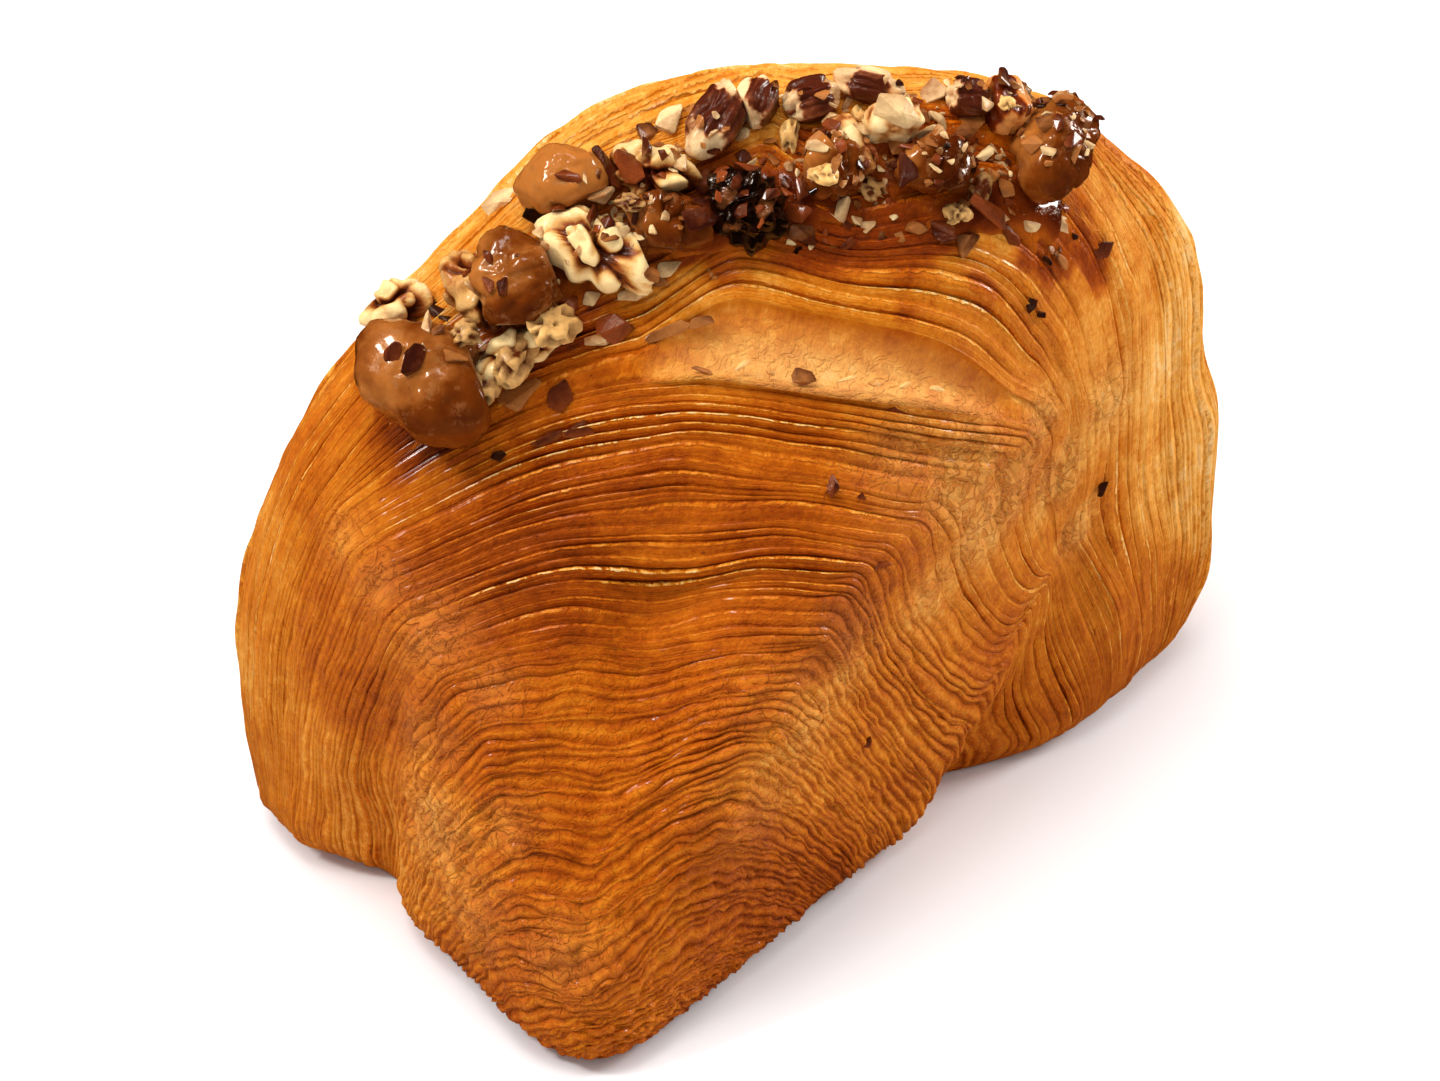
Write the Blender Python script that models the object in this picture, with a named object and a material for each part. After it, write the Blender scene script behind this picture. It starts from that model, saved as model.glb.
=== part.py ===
"""Laminated pastry bun with a band of caramelised nuts over its crest.

The dough is a rounded, four-sided dome of thin layers. The edges of the layers run from
floor to floor in nested arches that close in on a point at the foot of the front fold, and
the back half repeats the front half after half a turn. Caramel lumps, walnut and pecan
pieces and chopped bits lie over the crest.

Sizes are in millimetres and become metres through MM. +X runs along the crest, -Y faces
the front fold and +Z is up. The base is flat, at z = 0.
"""

from math import acos, atan2, cos, pi, radians, sin, sqrt

import bmesh
import bpy
import numpy as np
from mathutils import Vector
from mathutils.bvhtree import BVHTree

MM = 0.001

# The dome: its height, its widest level and the four rounded sides of its footprint.
HEIGHT = 92.7
WIDEST_LEVEL = 25.2
SIDES = ((-51.0, 30.1), (206.5, 48.1), (127.0, 32.3), (25.7, 57.5))  # facing in degrees, distance
CORNER_SHARPNESS = (13.5, 2.5)          # of the footprint low down and near the top
SHARPNESS_LEVELS = (24.0, 76.0)
SHOULDER = 2.41                         # roundness of the dome's upright section
TUCK = 0.054                            # how far the foot draws in, as a share of the radius
FOOT_ROUNDING = 4.4
MEAN_RADIUS = 44.0
LEAN = 8.8                              # the top leans this far towards +X
LEAN_LEVELS = (26.4, 88.0)
RIGHT_STRETCH = 0.076
RIGHT_STRETCH_WIDTH = 44.0

# The broad panels, soft flat cuts across the dome at the front and at the back.
PANELS = ((-101.5, 35.3, 37.7), (78.5, 40.0, 45.8))    # facing, slope of the normal, distance
PANEL_SOFTNESS = 8.0
CORE = (0.0, 0.0, 26.4)

# Folds: each follows a path on the surface and pushes it in (or out, where negative) from
# its first depth to its last. Every fold has a twin, turned half a turn about the middle.
FOLDS = (
    dict(path=((-45.8, -18.5, 0.0), (-40.5, -22.9, 15.8), (-37.8, -25.5, 33.4)), width=5.3, push=(7, 1.3)),
    dict(path=((-21.1, -44.0, 17.6), (-17.6, -38.7, 29.9), (-10.6, -32.6, 44.0)), width=7.9, push=(0.4, 3.5)),
    dict(path=((27.4, -15.6, 0.0), (37.0, -12.5, 12.0), (44.0, -8.9, 29.5)), width=5.3, push=(6.8, 0.6)),
    dict(path=((44.0, -8.9, 29.5), (51.5, -5.5, 18.5), (57.5, -2.0, 12.0)), width=4.2, push=(2.2, 3.2)),
    dict(path=((-27.3, -45.8, 7.0), (-29.9, -35.2, 33.4), (-40.5, -21.1, 47.5)), width=7, push=(-1.8, -2.6)),
    dict(path=((-5.3, -40.5, 26.4), (10.6, -32.6, 44.0), (33.4, -17.6, 49.3)), width=7.9, push=(-2.6,) * 2),
    dict(path=((44.0, -12.3, 1.8), (51.0, -5.3, 15.8)), width=10.6, push=(-5.2, -3.5)),
    dict(path=((-54.6, -5.3, 0.0), (-48.4, -14.1, 3.5)), width=6.2, push=(-2.8, -2.8)),
    dict(path=((52.8, -7.0, 0.0), (59.0, 5.3, 8.8)), width=8.8, push=(-2.2, -2.0)),
    dict(path=((50.0, 1.0, 66.0), (56.0, 4.5, 51.0), (59.0, 6.5, 41.0)), width=7.0, push=(1.3, 1.5)),
    dict(path=((61.3, 9.0, 29.0), (60.6, 6.0, 13.0)), width=6.6, push=(-2.0, -1.2)),
)
TWIN_BULGE = 0.5                        # the twins of the bulges are this much weaker

# The run of the layers. A level of 0 is the crest and 1 the point that the arches close in on.
FOCUS_BEARING = 182.0                   # bearing of the arches' left feet, in degrees
ARCH_TURN = (0.85, 0.277)               # turn of the arches' tops at level 0 and level 1
ARCH_SPREAD = 0.627
SPREAD_LEVEL = 0.305
ARCH_ROUNDING = 0.196
# Tugs move the layer edges along the surface, up towards the crest or down where negative. Each
# has a pull at both ends of its path.
TUGS = (
    dict(path=((27.5, -12.0, -4.0), (42.0, -8.0, 30.0)), width=5.0, rounding=5.0, pull=(0.22, 0.0)),
    dict(path=((-5.3, -40.5, 26.4), (10.6, -32.6, 44.0), (33.4, -17.6, 49.3)),
         width=7.5, rounding=1.76, pull=(0.042, 0.042)),
    dict(path=((-27.3, -45.8, 7.0), (-29.9, -35.2, 33.4), (-40.5, -21.1, 47.5)),
         width=4.7, rounding=1.76, pull=(0.022, 0.022)),
    dict(path=((-21.1, -44.0, 17.6), (-17.6, -38.7, 29.9), (-10.6, -32.6, 44.0)),
         width=8.3, rounding=1.76, pull=(-0.080, -0.080)),
    dict(path=((35.2, -13.2, 54.6), (39.6, -8.8, 61.6)), width=28.3, rounding=1.76, pull=(-0.040, -0.040)),
)
TUG_FADES = ((0.0, 0.25), (0.86, 1.0))  # runs over which the tugs fade in and out again

# The dough's mesh: rings of points over and under the bun, from the front focus to the back.
RINGS = 84
OVER = 36
UNDER = 8
GROOVE_DEPTH = 0.85                     # between the coarse layers
GROOVE_SHARES = (0.45, 1.0)             # of that depth, drawn for each groove
GROOVE_RIDGE = 0.12                     # share of that depth left on the ridges
GROOVE_SWELL = (0.28, 9.0, 5.3)         # how far the depth comes and goes, along and across the layers
FOOT_FADE = (0.6, 4.0)                  # heights over which the grooves fade in
CROWDING = (0.5, 1.8)                   # spacings of the layers over which the grooves fade in
# A layer that has opened above the front panel: its levels, its stretch and its depth.
OPEN_LAYER = dict(levels=(0.150, 0.208), along=(0.48, 0.66), depth=1.4)
LIFTED_EDGE = dict(levels=(0.208, 0.240), along=(0.46, 0.68), depth=-0.9)
BAND_FADE = 0.05                        # share of the stretch over which both fade out

# Toppings: name, form, place (bearing and rise from the core, in degrees), length, width and
# thickness, and the turn of the length from +X towards the crest.
TOPPINGS = (
    ("caramel_1", "lump", (-159, 47), (16.5, 11.0, 9.0), -47),
    ("caramel_2", "lump", (-158, 63), (11.0, 9.5, 9.0), -76),
    ("caramel_3", "lump", (-170, 74), (10.0, 7.0, 6.5), -7),
    ("caramel_4", "lump", (-124, 79), (11.0, 6.5, 6.0), -22),
    ("caramel_5", "lump", (-34, 75), (6.5, 7.5, 6.5), 0),
    ("caramel_6", "lump", (-21, 65.5), (8.0, 6.0, 6.0), -1),
    ("caramel_7", "lump", (-8, 55.5), (12.5, 8.0, 8.5), 63),
    ("walnut_1", "walnut", (-175, 49.5), (8.4, 5.2, 4.5), -13),
    ("walnut_2", "walnut", (-165, 59), (9.2, 5.4, 5.0), -67),
    ("walnut_3", "walnut", (-147, 72), (15.0, 6.6, 6.0), -30),
    ("walnut_4", "walnut", (-142, 82), (9.8, 5.8, 5.0), -30),
    ("walnut_5", "walnut", (-150, 57), (12.0, 4.0, 4.0), 25),
    ("pecan_1", "pecan", (-56, 87.5), (11.0, 5.4, 5.0), 49),
    ("pecan_2", "pecan", (-16, 84.5), (6.4, 4.4, 5.0), 56),
    ("pecan_3", "pecan", (-11, 79), (6.8, 4.8, 4.0), 8),
    ("pecan_4", "pecan", (-6, 73.5), (8.6, 3.8, 4.0), -29),
    ("pecan_5", "pecan", (-6, 64), (5.6, 4.2, 4.0), -10),
    ("nut_slab", "chunk", (-25, 74), (6.8, 3.0, 3.2), -72),
    ("nut_chunk", "chunk", (-15, 71), (5.8, 4.2, 4.0), -2),
    ("nut_cup", "cup", (-5, 60.5), (6.8, 4.8, 5.0), -77),
    ("burnt_cluster", "cluster", (-74, 79.5), (9.0, 7.0, 6.0), -50),
)
# How square each form is: 2 is an ellipsoid, and higher powers come nearer to a block.
SQUARENESS = {"lump": 2.3, "walnut": 2.2, "pecan": 2.4, "chunk": 4.5, "cup": 3.0, "cluster": 2.0}
BULGE_MARGIN = 1.15                     # the forms' bulges reach this far beyond their ellipsoids
SUNK = 0.30                             # share of its half thickness that a topping is sunk by
GAP = 0.32                              # between toppings that touch
DOUGH_GAP = 0.35                        # between a topping and the dough
RETREAT = 0.96                          # step by which a corner draws back to keep that gap
RETREATS = 60
LARGE_TOPPING = 9.0
LARGE_RINGS = (16, 9)
SMALL_RINGS = (12, 7)

# Chopped bits are fused to the dough along the band of toppings.
BAND = ((-31.0, -14.0, 58.0), (-21.0, -13.0, 66.0), (-9.0, -13.5, 71.0), (4.0, -14.0, 73.5),
        (17.0, -14.0, 73.0), (29.0, -12.0, 71.0), (38.0, -8.0, 68.0))
BIT_COUNT = 52
BIT_SPREAD = 6.5
BIT_SIZE = (1.0, 1.9)
BIT_REACH = 1.45                        # furthest point of a bit, as a share of its size
BIT_LIFT = 0.12
BIT_CLEARANCE = 0.5                     # to the toppings
BIT_SPACING = 1.2
BIT_TRIES = 4000
STRAY_BITS = (
    ((-12.1, -13.8, 66.7), 1.7), ((-15.5, -13.9, 65.5), 1.6), ((-17.8, -16.4, 61.6), 1.5),
    ((-19.2, -18.6, 58.4), 1.6), ((-25.5, -18.0, 57.0), 1.2), ((15.3, -22.6, 59.2), 1.3),
    ((8.0, -26.9, 53.7), 1.2), ((12.5, -30.5, 45.5), 1.2), ((12.2, -28.9, 20.7), 1.2),
    ((45.0, -4.1, 32.8), 1.2), ((42.3, -5.7, 65.0), 1.5), ((31.9, -13.5, 64.6), 1.3),
    ((-5.9, -27.7, 48.5), 1.0),
)
SEED = 7
REACH_LIMIT = 200.0                     # length of a ray that looks for the dough

# Colours (linear) and roughness.
FINISHES = {
    "dough": ((0.48, 0.17, 0.035), 0.55),
    "lump": ((0.21, 0.062, 0.014), 0.16),
    "walnut": ((0.60, 0.36, 0.13), 0.45),
    "pecan": ((0.24, 0.075, 0.030), 0.38),
    "chunk": ((0.62, 0.42, 0.20), 0.45),
    "cup": ((0.46, 0.15, 0.028), 0.30),
    "cluster": ((0.020, 0.008, 0.006), 0.25),
}


def ease(low, high, x):
    """A smooth step from 0 at low to 1 at high."""
    t = np.clip((x - low) / (high - low), 0, 1)
    return t * t * (3 - 2 * t)


def unit(vectors):
    """The vectors at length 1."""
    return vectors / (np.linalg.norm(vectors, axis=-1, keepdims=True) + 1e-12)


def side_radius(bearing, sharpness):
    """Radius of the rounded four-sided plan at a bearing."""
    total = 0
    for facing, distance in SIDES:
        total = total + (np.maximum(0, np.cos(bearing - radians(facing))) / distance) ** sharpness
    return total ** (-1 / sharpness)


def dome_section(count=400):
    """The upright section: run from 0 at the top to 1 at the floor, radius ratio and height."""
    turn = np.linspace(0, pi / 2, count)
    ratio = np.sin(turn) ** (2 / SHOULDER)
    height = WIDEST_LEVEL + (HEIGHT - WIDEST_LEVEL) * np.cos(turn) ** (2 / SHOULDER)
    low = np.linspace(WIDEST_LEVEL, 0, count // 2)[1:]
    low_ratio = 1 - TUCK * ((WIDEST_LEVEL - low) / WIDEST_LEVEL) ** 2.2
    under = np.clip(FOOT_ROUNDING - low, 0, FOOT_ROUNDING)
    low_ratio = low_ratio - (FOOT_ROUNDING - np.sqrt(FOOT_ROUNDING**2 - under**2)) / MEAN_RADIUS
    ratio = np.concatenate([ratio, low_ratio])
    height = np.concatenate([height, low])
    steps = np.hypot(np.diff(ratio * MEAN_RADIUS), np.diff(height))
    run = np.concatenate([[0], np.cumsum(steps)])
    return run / run[-1], ratio, height


SECTION = dome_section()


def dome(run, bearing):
    """Points of the plain dome, before its folds."""
    ratio = np.interp(run, SECTION[0], SECTION[1])
    height = np.interp(run, SECTION[0], SECTION[2])
    low, high = CORNER_SHARPNESS
    sharpness = low + (high - low) * ease(*SHARPNESS_LEVELS, height)
    radius = ratio * side_radius(bearing, sharpness)
    points = np.stack([radius * np.cos(bearing), radius * np.sin(bearing), height], -1)
    core = np.array(CORE)
    for facing, slope, distance in PANELS:
        facing, slope = radians(facing), radians(slope)
        normal = np.array([cos(facing) * cos(slope), sin(facing) * cos(slope), sin(slope)])
        reach = np.maximum(0, (points - core) @ normal) / distance
        shrink = (1 + reach**PANEL_SOFTNESS) ** (-1 / PANEL_SOFTNESS)
        points = core + (points - core) * shrink[..., None]
    points[..., 0] += LEAN * ease(*LEAN_LEVELS, points[..., 2])
    points[..., 0] *= 1 + RIGHT_STRETCH * ease(0, RIGHT_STRETCH_WIDTH, points[..., 0])
    return points


def from_path(points, path):
    """Distance to a path of points, and the share of the path where it is nearest."""
    path = np.asarray(path, float)
    best = np.full(points.shape[:-1], 1e9)
    share = np.zeros(points.shape[:-1])
    lengths = np.linalg.norm(np.diff(path, axis=0), axis=1)
    starts = np.concatenate([[0], np.cumsum(lengths)])
    for i, length in enumerate(lengths):
        along = path[i + 1] - path[i]
        t = np.clip((points - path[i]) @ along / length**2, 0, 1)
        distance = np.linalg.norm(points - (path[i] + t[..., None] * along), axis=-1)
        share = np.where(distance < best, (starts[i] + t * length) / starts[-1], share)
        best = np.minimum(best, distance)
    return best, share


def half_turned(path, turned):
    """The path itself, or its twin on the other side of the middle."""
    sign = -1 if turned else 1
    return np.array(path) * np.array([sign, sign, 1])


def push_in(points):
    """How far the folds push the surface in at each point."""
    total = np.zeros(points.shape[:-1])
    for fold in FOLDS:
        first, last = fold["push"]
        for turned in (False, True):
            distance, share = from_path(points, half_turned(fold["path"], turned))
            weight = TWIN_BULGE if turned and first < 0 else 1
            total += weight * (first + (last - first) * share) * np.exp(-((distance / fold["width"]) ** 2))
    return total


def surface(run, bearing):
    """Points of the folded bun. run is 0 at the top and 1 at the floor."""
    points = dome(run, bearing)
    axis = np.zeros_like(points)
    axis[..., 2] = np.clip(points[..., 2], 0, CORE[2])
    points = points - unit(points - axis) * push_in(points)[..., None]
    points[..., 2] = np.where(run >= 1 - 1e-9, 0, np.maximum(points[..., 2], 0))
    return points


def tug(points, run):
    """How far the layer edges are pulled up the surface, as a share of the run."""
    total = np.zeros(points.shape[:-1])
    for pull in TUGS:
        first, last = pull["pull"]
        for turned in (False, True):
            distance, share = from_path(points, half_turned(pull["path"], turned))
            rounded = np.sqrt(distance**2 + pull["rounding"] ** 2) - pull["rounding"]
            total += (first + (last - first) * share) * np.exp(-rounded / pull["width"])
    fade_in, fade_out = TUG_FADES
    return total * ease(*fade_in, run) * (1 - ease(*fade_out, run))


def arch_rise(angle):
    """1 over the middle of an arch, 0 at its feet, for an angle from 0 to pi."""
    x = np.abs(angle - pi / 2) / (pi / 2)
    full = sqrt(1 + ARCH_ROUNDING**2) - ARCH_ROUNDING
    return 1 - (np.sqrt(x * x + ARCH_ROUNDING**2) - ARCH_ROUNDING) / full


def arch_foot(rise):
    """The angle under pi/2 at which arch_rise gives this value."""
    full = sqrt(1 + ARCH_ROUNDING**2) - ARCH_ROUNDING
    y = (1 - rise) * full + ARCH_ROUNDING
    return pi / 2 * (1 - sqrt(max(y * y - ARCH_ROUNDING**2, 0)))


def layer_edge(level, back=False, count=300):
    """Run and bearing along one layer's edge, from its left foot to its right one."""
    level = min(max(level, 1e-4), 0.9995)
    spread = 1 - (1 - ARCH_SPREAD) * ease(0.0, SPREAD_LEVEL, level)
    foot = arch_foot(level ** (1 / spread))
    even = np.linspace(1 / np.tan(foot), -1 / np.tan(foot), count)
    angle = np.arctan2(1, even)
    turn = ARCH_TURN[0] + (ARCH_TURN[1] - ARCH_TURN[0]) * level
    plain = np.linspace(0, pi, 400)
    turned = np.interp(angle, plain + turn * np.sin(plain) ** 2, plain)
    run = np.minimum(1, level / arch_rise(angle) ** spread)
    bearing = radians(FOCUS_BEARING) + turned + (pi if back else 0)
    return run, bearing


def spaced_evenly(points, count):
    """The same line of points with even steps along it."""
    steps = np.linalg.norm(np.diff(points, axis=0), axis=1)
    along = np.concatenate([[0], np.cumsum(steps)])
    wanted = np.linspace(0, along[-1], count)
    return np.stack([np.interp(wanted, along, points[:, k]) for k in range(3)], -1)


def layer_points(level, count, back=False):
    """Even points along one layer's edge over the bun."""
    run, bearing = layer_edge(level, back)
    run = np.clip(run - tug(surface(run, bearing), run), 0, 1)
    return spaced_evenly(surface(run, bearing), count)


def layer_relief(levels, along, back, depths):
    """How far each layer is pushed in: its groove, and the opened layer of the front."""
    share, waves_along, waves_across = GROOVE_SWELL
    swell = 1 - share + share * np.sin(waves_along * along + waves_across * levels)
    push = GROOVE_DEPTH * depths * swell
    if not back:
        for band in (OPEN_LAYER, LIFTED_EDGE):
            inside = (levels >= band["levels"][0]) & (levels < band["levels"][1])
            first, last = band["along"]
            fade_in = ease(first - BAND_FADE / 2, first + BAND_FADE / 2, along)
            fade_out = 1 - ease(last - BAND_FADE / 2, last + BAND_FADE / 2, along)
            push = push + band["depth"] * inside * fade_in * fade_out
    return push


def under_points(level, back):
    """Points under the bun, from the right foot of a layer back to its left foot."""
    bearing = layer_edge(level, back)[1]
    share = np.linspace(0, 1, UNDER + 2)[1:-1]
    x = cos(bearing[-1]) * (1 - share) + cos(bearing[0]) * share
    y = sin(bearing[-1]) * (1 - share) + sin(bearing[0]) * share
    reach = np.hypot(x, y)
    return surface(np.ones_like(reach), np.arctan2(y, x)) * reach[:, None]


def ring_points(grooved):
    """The closed rings of the bun, [ring, step], with a pole at each end."""
    rng = np.random.default_rng(SEED)
    count = RINGS - 1
    signed = 1 - 2 * np.arange(1, RINGS) / RINGS
    arches = np.empty((count, OVER, 3))
    below = np.empty((count, UNDER, 3))
    for ring, place in enumerate(signed):
        back = place < 0
        order = -1 if back else 1
        arches[ring] = layer_points(abs(place), OVER, back)[::order]
        below[ring] = under_points(abs(place), back)[::order]
    if grooved:
        depths = rng.uniform(*GROOVE_SHARES, count)
        depths[::2] *= GROOVE_RIDGE
        along = np.linspace(0, 1, OVER)
        normals = unit(np.cross(np.gradient(arches, axis=1), np.gradient(arches, axis=0)))
        if np.mean(normals[..., 2]) < 0:
            normals = -normals
        spacing = np.linalg.norm(np.gradient(arches, axis=0), axis=-1)
        fade = ease(*FOOT_FADE, arches[..., 2]) * ease(*CROWDING, spacing)
        for ring, place in enumerate(signed):
            back = place < 0
            u = along[::-1] if back else along
            push = layer_relief(abs(place), u, back, depths[ring]) * fade[ring]
            arches[ring] -= normals[ring] * push[:, None]
        arches[..., 2] = np.maximum(arches[..., 2], 0)
    rings = np.concatenate([arches, below], axis=1)
    poles = []
    for back in (False, True):
        bearing = layer_edge(1.0, back)[1].mean()
        poles.append(np.repeat(surface(np.array([1.0]), np.array([bearing])), OVER + UNDER, axis=0))
    return np.concatenate([poles[0][None], rings, poles[1][None]])


def bun_mesh(grooved=True):
    """The bun as a sphere whose rings are moved onto the layers."""
    places = ring_points(grooved)
    steps = OVER + UNDER
    bm = bmesh.new()
    bmesh.ops.create_uvsphere(bm, u_segments=steps, v_segments=RINGS, radius=1)
    for vert in bm.verts:
        ring = round(acos(max(-1, min(1, vert.co.z))) / pi * RINGS)
        step = round(atan2(vert.co.y, vert.co.x) / (2 * pi) * steps) % steps
        vert.co = places[ring, step]
    bmesh.ops.triangulate(bm, faces=bm.faces, quad_method="FIXED")
    bmesh.ops.recalc_face_normals(bm, faces=bm.faces)
    return bm


def finish(kind):
    """The material of one kind of piece."""
    material = bpy.data.materials.get(kind) or bpy.data.materials.new(kind)
    colour, roughness = FINISHES[kind]
    material.use_nodes = True
    shader = material.node_tree.nodes["Principled BSDF"]
    shader.inputs["Base Color"].default_value = (*colour, 1)
    shader.inputs["Roughness"].default_value = roughness
    material.diffuse_color = (*colour, 1)
    return material


def add_object(name, bm, kind, collection):
    """A named object made from a bmesh in millimetres."""
    bmesh.ops.scale(bm, vec=(MM, MM, MM), verts=bm.verts)
    mesh = bpy.data.meshes.new(name)
    bm.to_mesh(mesh)
    bm.free()
    mesh.materials.append(finish(kind))
    item = bpy.data.objects.new(name, mesh)
    collection.objects.link(item)
    return item


def surface_at(direction, tree):
    """Where a ray from the core meets the bun, and the normal there."""
    place, normal, _, _ = tree.ray_cast(Vector(CORE), Vector(direction), REACH_LIMIT)
    return np.array(place), np.array(normal)


def smooth_normal(direction, tree, spread=0.06):
    """The mean normal round a place, so that one facet doesn't tip a piece."""
    total = np.zeros(3)
    for dx in (-spread, 0, spread):
        for dz in (-spread, 0, spread):
            total += surface_at((direction[0] + dx, direction[1] + dz, direction[2]), tree)[1]
    return unit(total)


def seat(place, size, turn, tree):
    """The centre and the axes (length, width, up) of a topping on the bun."""
    bearing, rise = radians(place[0]), radians(place[1])
    direction = (cos(bearing) * cos(rise), sin(bearing) * cos(rise), sin(rise))
    foot = surface_at(direction, tree)[0]
    up = smooth_normal(direction, tree)
    east = unit(np.array([1.0, 0, 0]) - up[0] * up)
    north = np.cross(up, east)
    length = cos(radians(turn)) * east + sin(radians(turn)) * north
    centre = foot + up * size[2] / 2 * (1 - SUNK)
    return centre, np.array([length, np.cross(up, length), up])


def form_radius(form, half, d):
    """Distance from a topping's centre to its skin along local unit directions."""
    power = SQUARENESS[form]
    radius = ((np.abs(d) / half) ** power).sum(-1) ** (-1 / power)
    x, y, z = d.T
    if form == "lump":
        return radius * (1 + 0.05 * np.sin(4 * x + 2 * y) + 0.04 * np.cos(5 * y - 3 * z))
    if form == "walnut":
        lobes = np.cos(7.5 * x + 1.5 * y) * np.cos(4 * y + 0.6)
        return radius * (1 + 0.13 * lobes - 0.12 * np.exp(-((y / 0.22) ** 2)) * (z > 0))
    if form == "pecan":
        ridges = np.exp(-(((np.abs(y) - 0.38) / 0.16) ** 2))
        return radius * (1 - 0.16 * ridges * (z > 0))
    if form == "cup":
        return radius * (1 - 0.42 * np.exp(-((1 - z) / 0.16)))
    if form == "cluster":
        return radius * (1 + 0.16 * np.sin(8 * x + 1) * np.sin(7 * y) + 0.08 * np.cos(9 * z))
    return radius


def support(half, axes, direction):
    """Reach of a topping's plain ellipsoid along a world direction."""
    return float(np.linalg.norm(half * (axes @ direction)))


def too_close(spot, trees):
    """Whether a spot is nearer to the plain or grooved dough than the gap, or inside it."""
    for tree in trees:
        place, normal, _, _ = tree.find_nearest(spot)
        if (spot - place).dot(normal) < DOUGH_GAP:
            return True
    return False


def draw_back(bm, centre, trees):
    """Draw corners back towards the centre until every face is clear of the dough."""
    for _ in range(RETREATS):
        close = set()
        for face in bm.faces:
            spots = [(edge.verts[0].co + edge.verts[1].co) / 2 for edge in face.edges]
            spots += [vert.co for vert in face.verts] + [face.calc_center_median()]
            if any(too_close(spot, trees) for spot in spots):
                close.update(face.verts)
        if not close:
            return
        for vert in close:
            vert.co = centre + (vert.co - centre) * RETREAT


def topping_mesh(index, seats, trees):
    """One topping, cut back from the bun and from the toppings round it."""
    _, form, _, size, _ = TOPPINGS[index]
    half = np.array(size) / 2
    centre, axes = seats[index]
    across, down = LARGE_RINGS if size[0] > LARGE_TOPPING else SMALL_RINGS
    bm = bmesh.new()
    bmesh.ops.create_uvsphere(bm, u_segments=across, v_segments=down, radius=1)
    local = unit(np.array([vert.co for vert in bm.verts]))
    radius = form_radius(form, half, local)
    world = local @ axes
    for other, (middle, other_axes) in enumerate(seats):
        apart = middle - centre
        distance = np.linalg.norm(apart)
        if other == index:
            continue
        direction = apart / distance
        own = support(half, axes, direction) * BULGE_MARGIN
        theirs = support(np.array(TOPPINGS[other][3]) / 2, other_axes, direction) * BULGE_MARGIN
        if own + theirs < distance:
            continue
        wall = distance * own / (own + theirs) - GAP / 2
        towards = world @ direction
        limit = np.where(towards > 1e-6, wall / np.maximum(towards, 1e-6), np.inf)
        radius = np.minimum(radius, limit)
    for i, vert in enumerate(bm.verts):
        distance = trees[0].ray_cast(Vector(centre), Vector(world[i]), REACH_LIMIT)[3]
        vert.co = centre + world[i] * min(radius[i], distance or radius[i])
    bmesh.ops.triangulate(bm, faces=bm.faces, quad_method="FIXED")
    draw_back(bm, Vector(centre), trees)
    bmesh.ops.recalc_face_normals(bm, faces=bm.faces)
    return bm


def bit_places(tree, clear_of, rng):
    """Seeded places and sizes of the chopped bits, clear of the toppings and each other."""
    band = np.array(BAND)
    places = [(np.array(spot), size) for spot, size in STRAY_BITS]
    kept = []
    tries = 0
    while len(kept) < BIT_COUNT and tries < BIT_TRIES:
        tries += 1
        if places:
            spot, size = places.pop()
        else:
            t = rng.uniform(0, len(band) - 1.001)
            spot = band[int(t)] + (band[int(t) + 1] - band[int(t)]) * (t % 1)
            spot = spot + rng.normal(0, BIT_SPREAD, 3) * (0.5, 0.8, 0.8)
            size = rng.uniform(*BIT_SIZE)
        foot, normal = surface_at(spot - np.array(CORE), tree)
        near_topping = min(other.find_nearest(Vector(foot))[3] for other in clear_of)
        if near_topping < size * BIT_REACH + BIT_CLEARANCE:
            continue
        if any(np.linalg.norm(foot - spot) < BIT_SPACING * (size + other) for spot, _, other in kept):
            continue
        kept.append((foot, normal, size))
    return kept


def bit_mesh(foot, normal, size, rng):
    """One chopped bit: a squat uneven lump half sunk in the dough."""
    bm = bmesh.new()
    bmesh.ops.create_icosphere(bm, subdivisions=1, radius=1)
    east = unit(np.cross(normal, rng.normal(size=3)))
    axes = np.array([east, np.cross(normal, east), normal])
    stretch = np.array([1.15, rng.uniform(0.65, 0.9), 0.6]) * size
    for vert in bm.verts:
        local = np.array(vert.co) * stretch * rng.uniform(0.85, 1.1)
        vert.co = foot + local @ axes + normal * BIT_LIFT * size
    bmesh.ops.recalc_face_normals(bm, faces=bm.faces)
    return bm


def fuse(item, pieces):
    """Join the pieces of a collection into an object, and remove them."""
    union = item.modifiers.new("chopped_bits", "BOOLEAN")
    union.operation = "UNION"
    union.operand_type = "COLLECTION"
    union.collection = pieces
    union.solver = "EXACT"
    bpy.context.view_layer.update()
    joined = bpy.data.meshes.new_from_object(item.evaluated_get(bpy.context.evaluated_depsgraph_get()))
    item.modifiers.clear()
    item.data = joined
    for piece in list(pieces.objects):
        bpy.data.objects.remove(piece)
    bpy.data.collections.remove(pieces)


def centre_on_base(items):
    """Move all meshes so that the middle of their box is over the origin."""
    corners = np.array([vert.co for item in items for vert in item.data.vertices])
    middle = (corners.min(axis=0) + corners.max(axis=0)) / 2
    for item in items:
        for vert in item.data.vertices:
            vert.co.x -= middle[0]
            vert.co.y -= middle[1]


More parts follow.
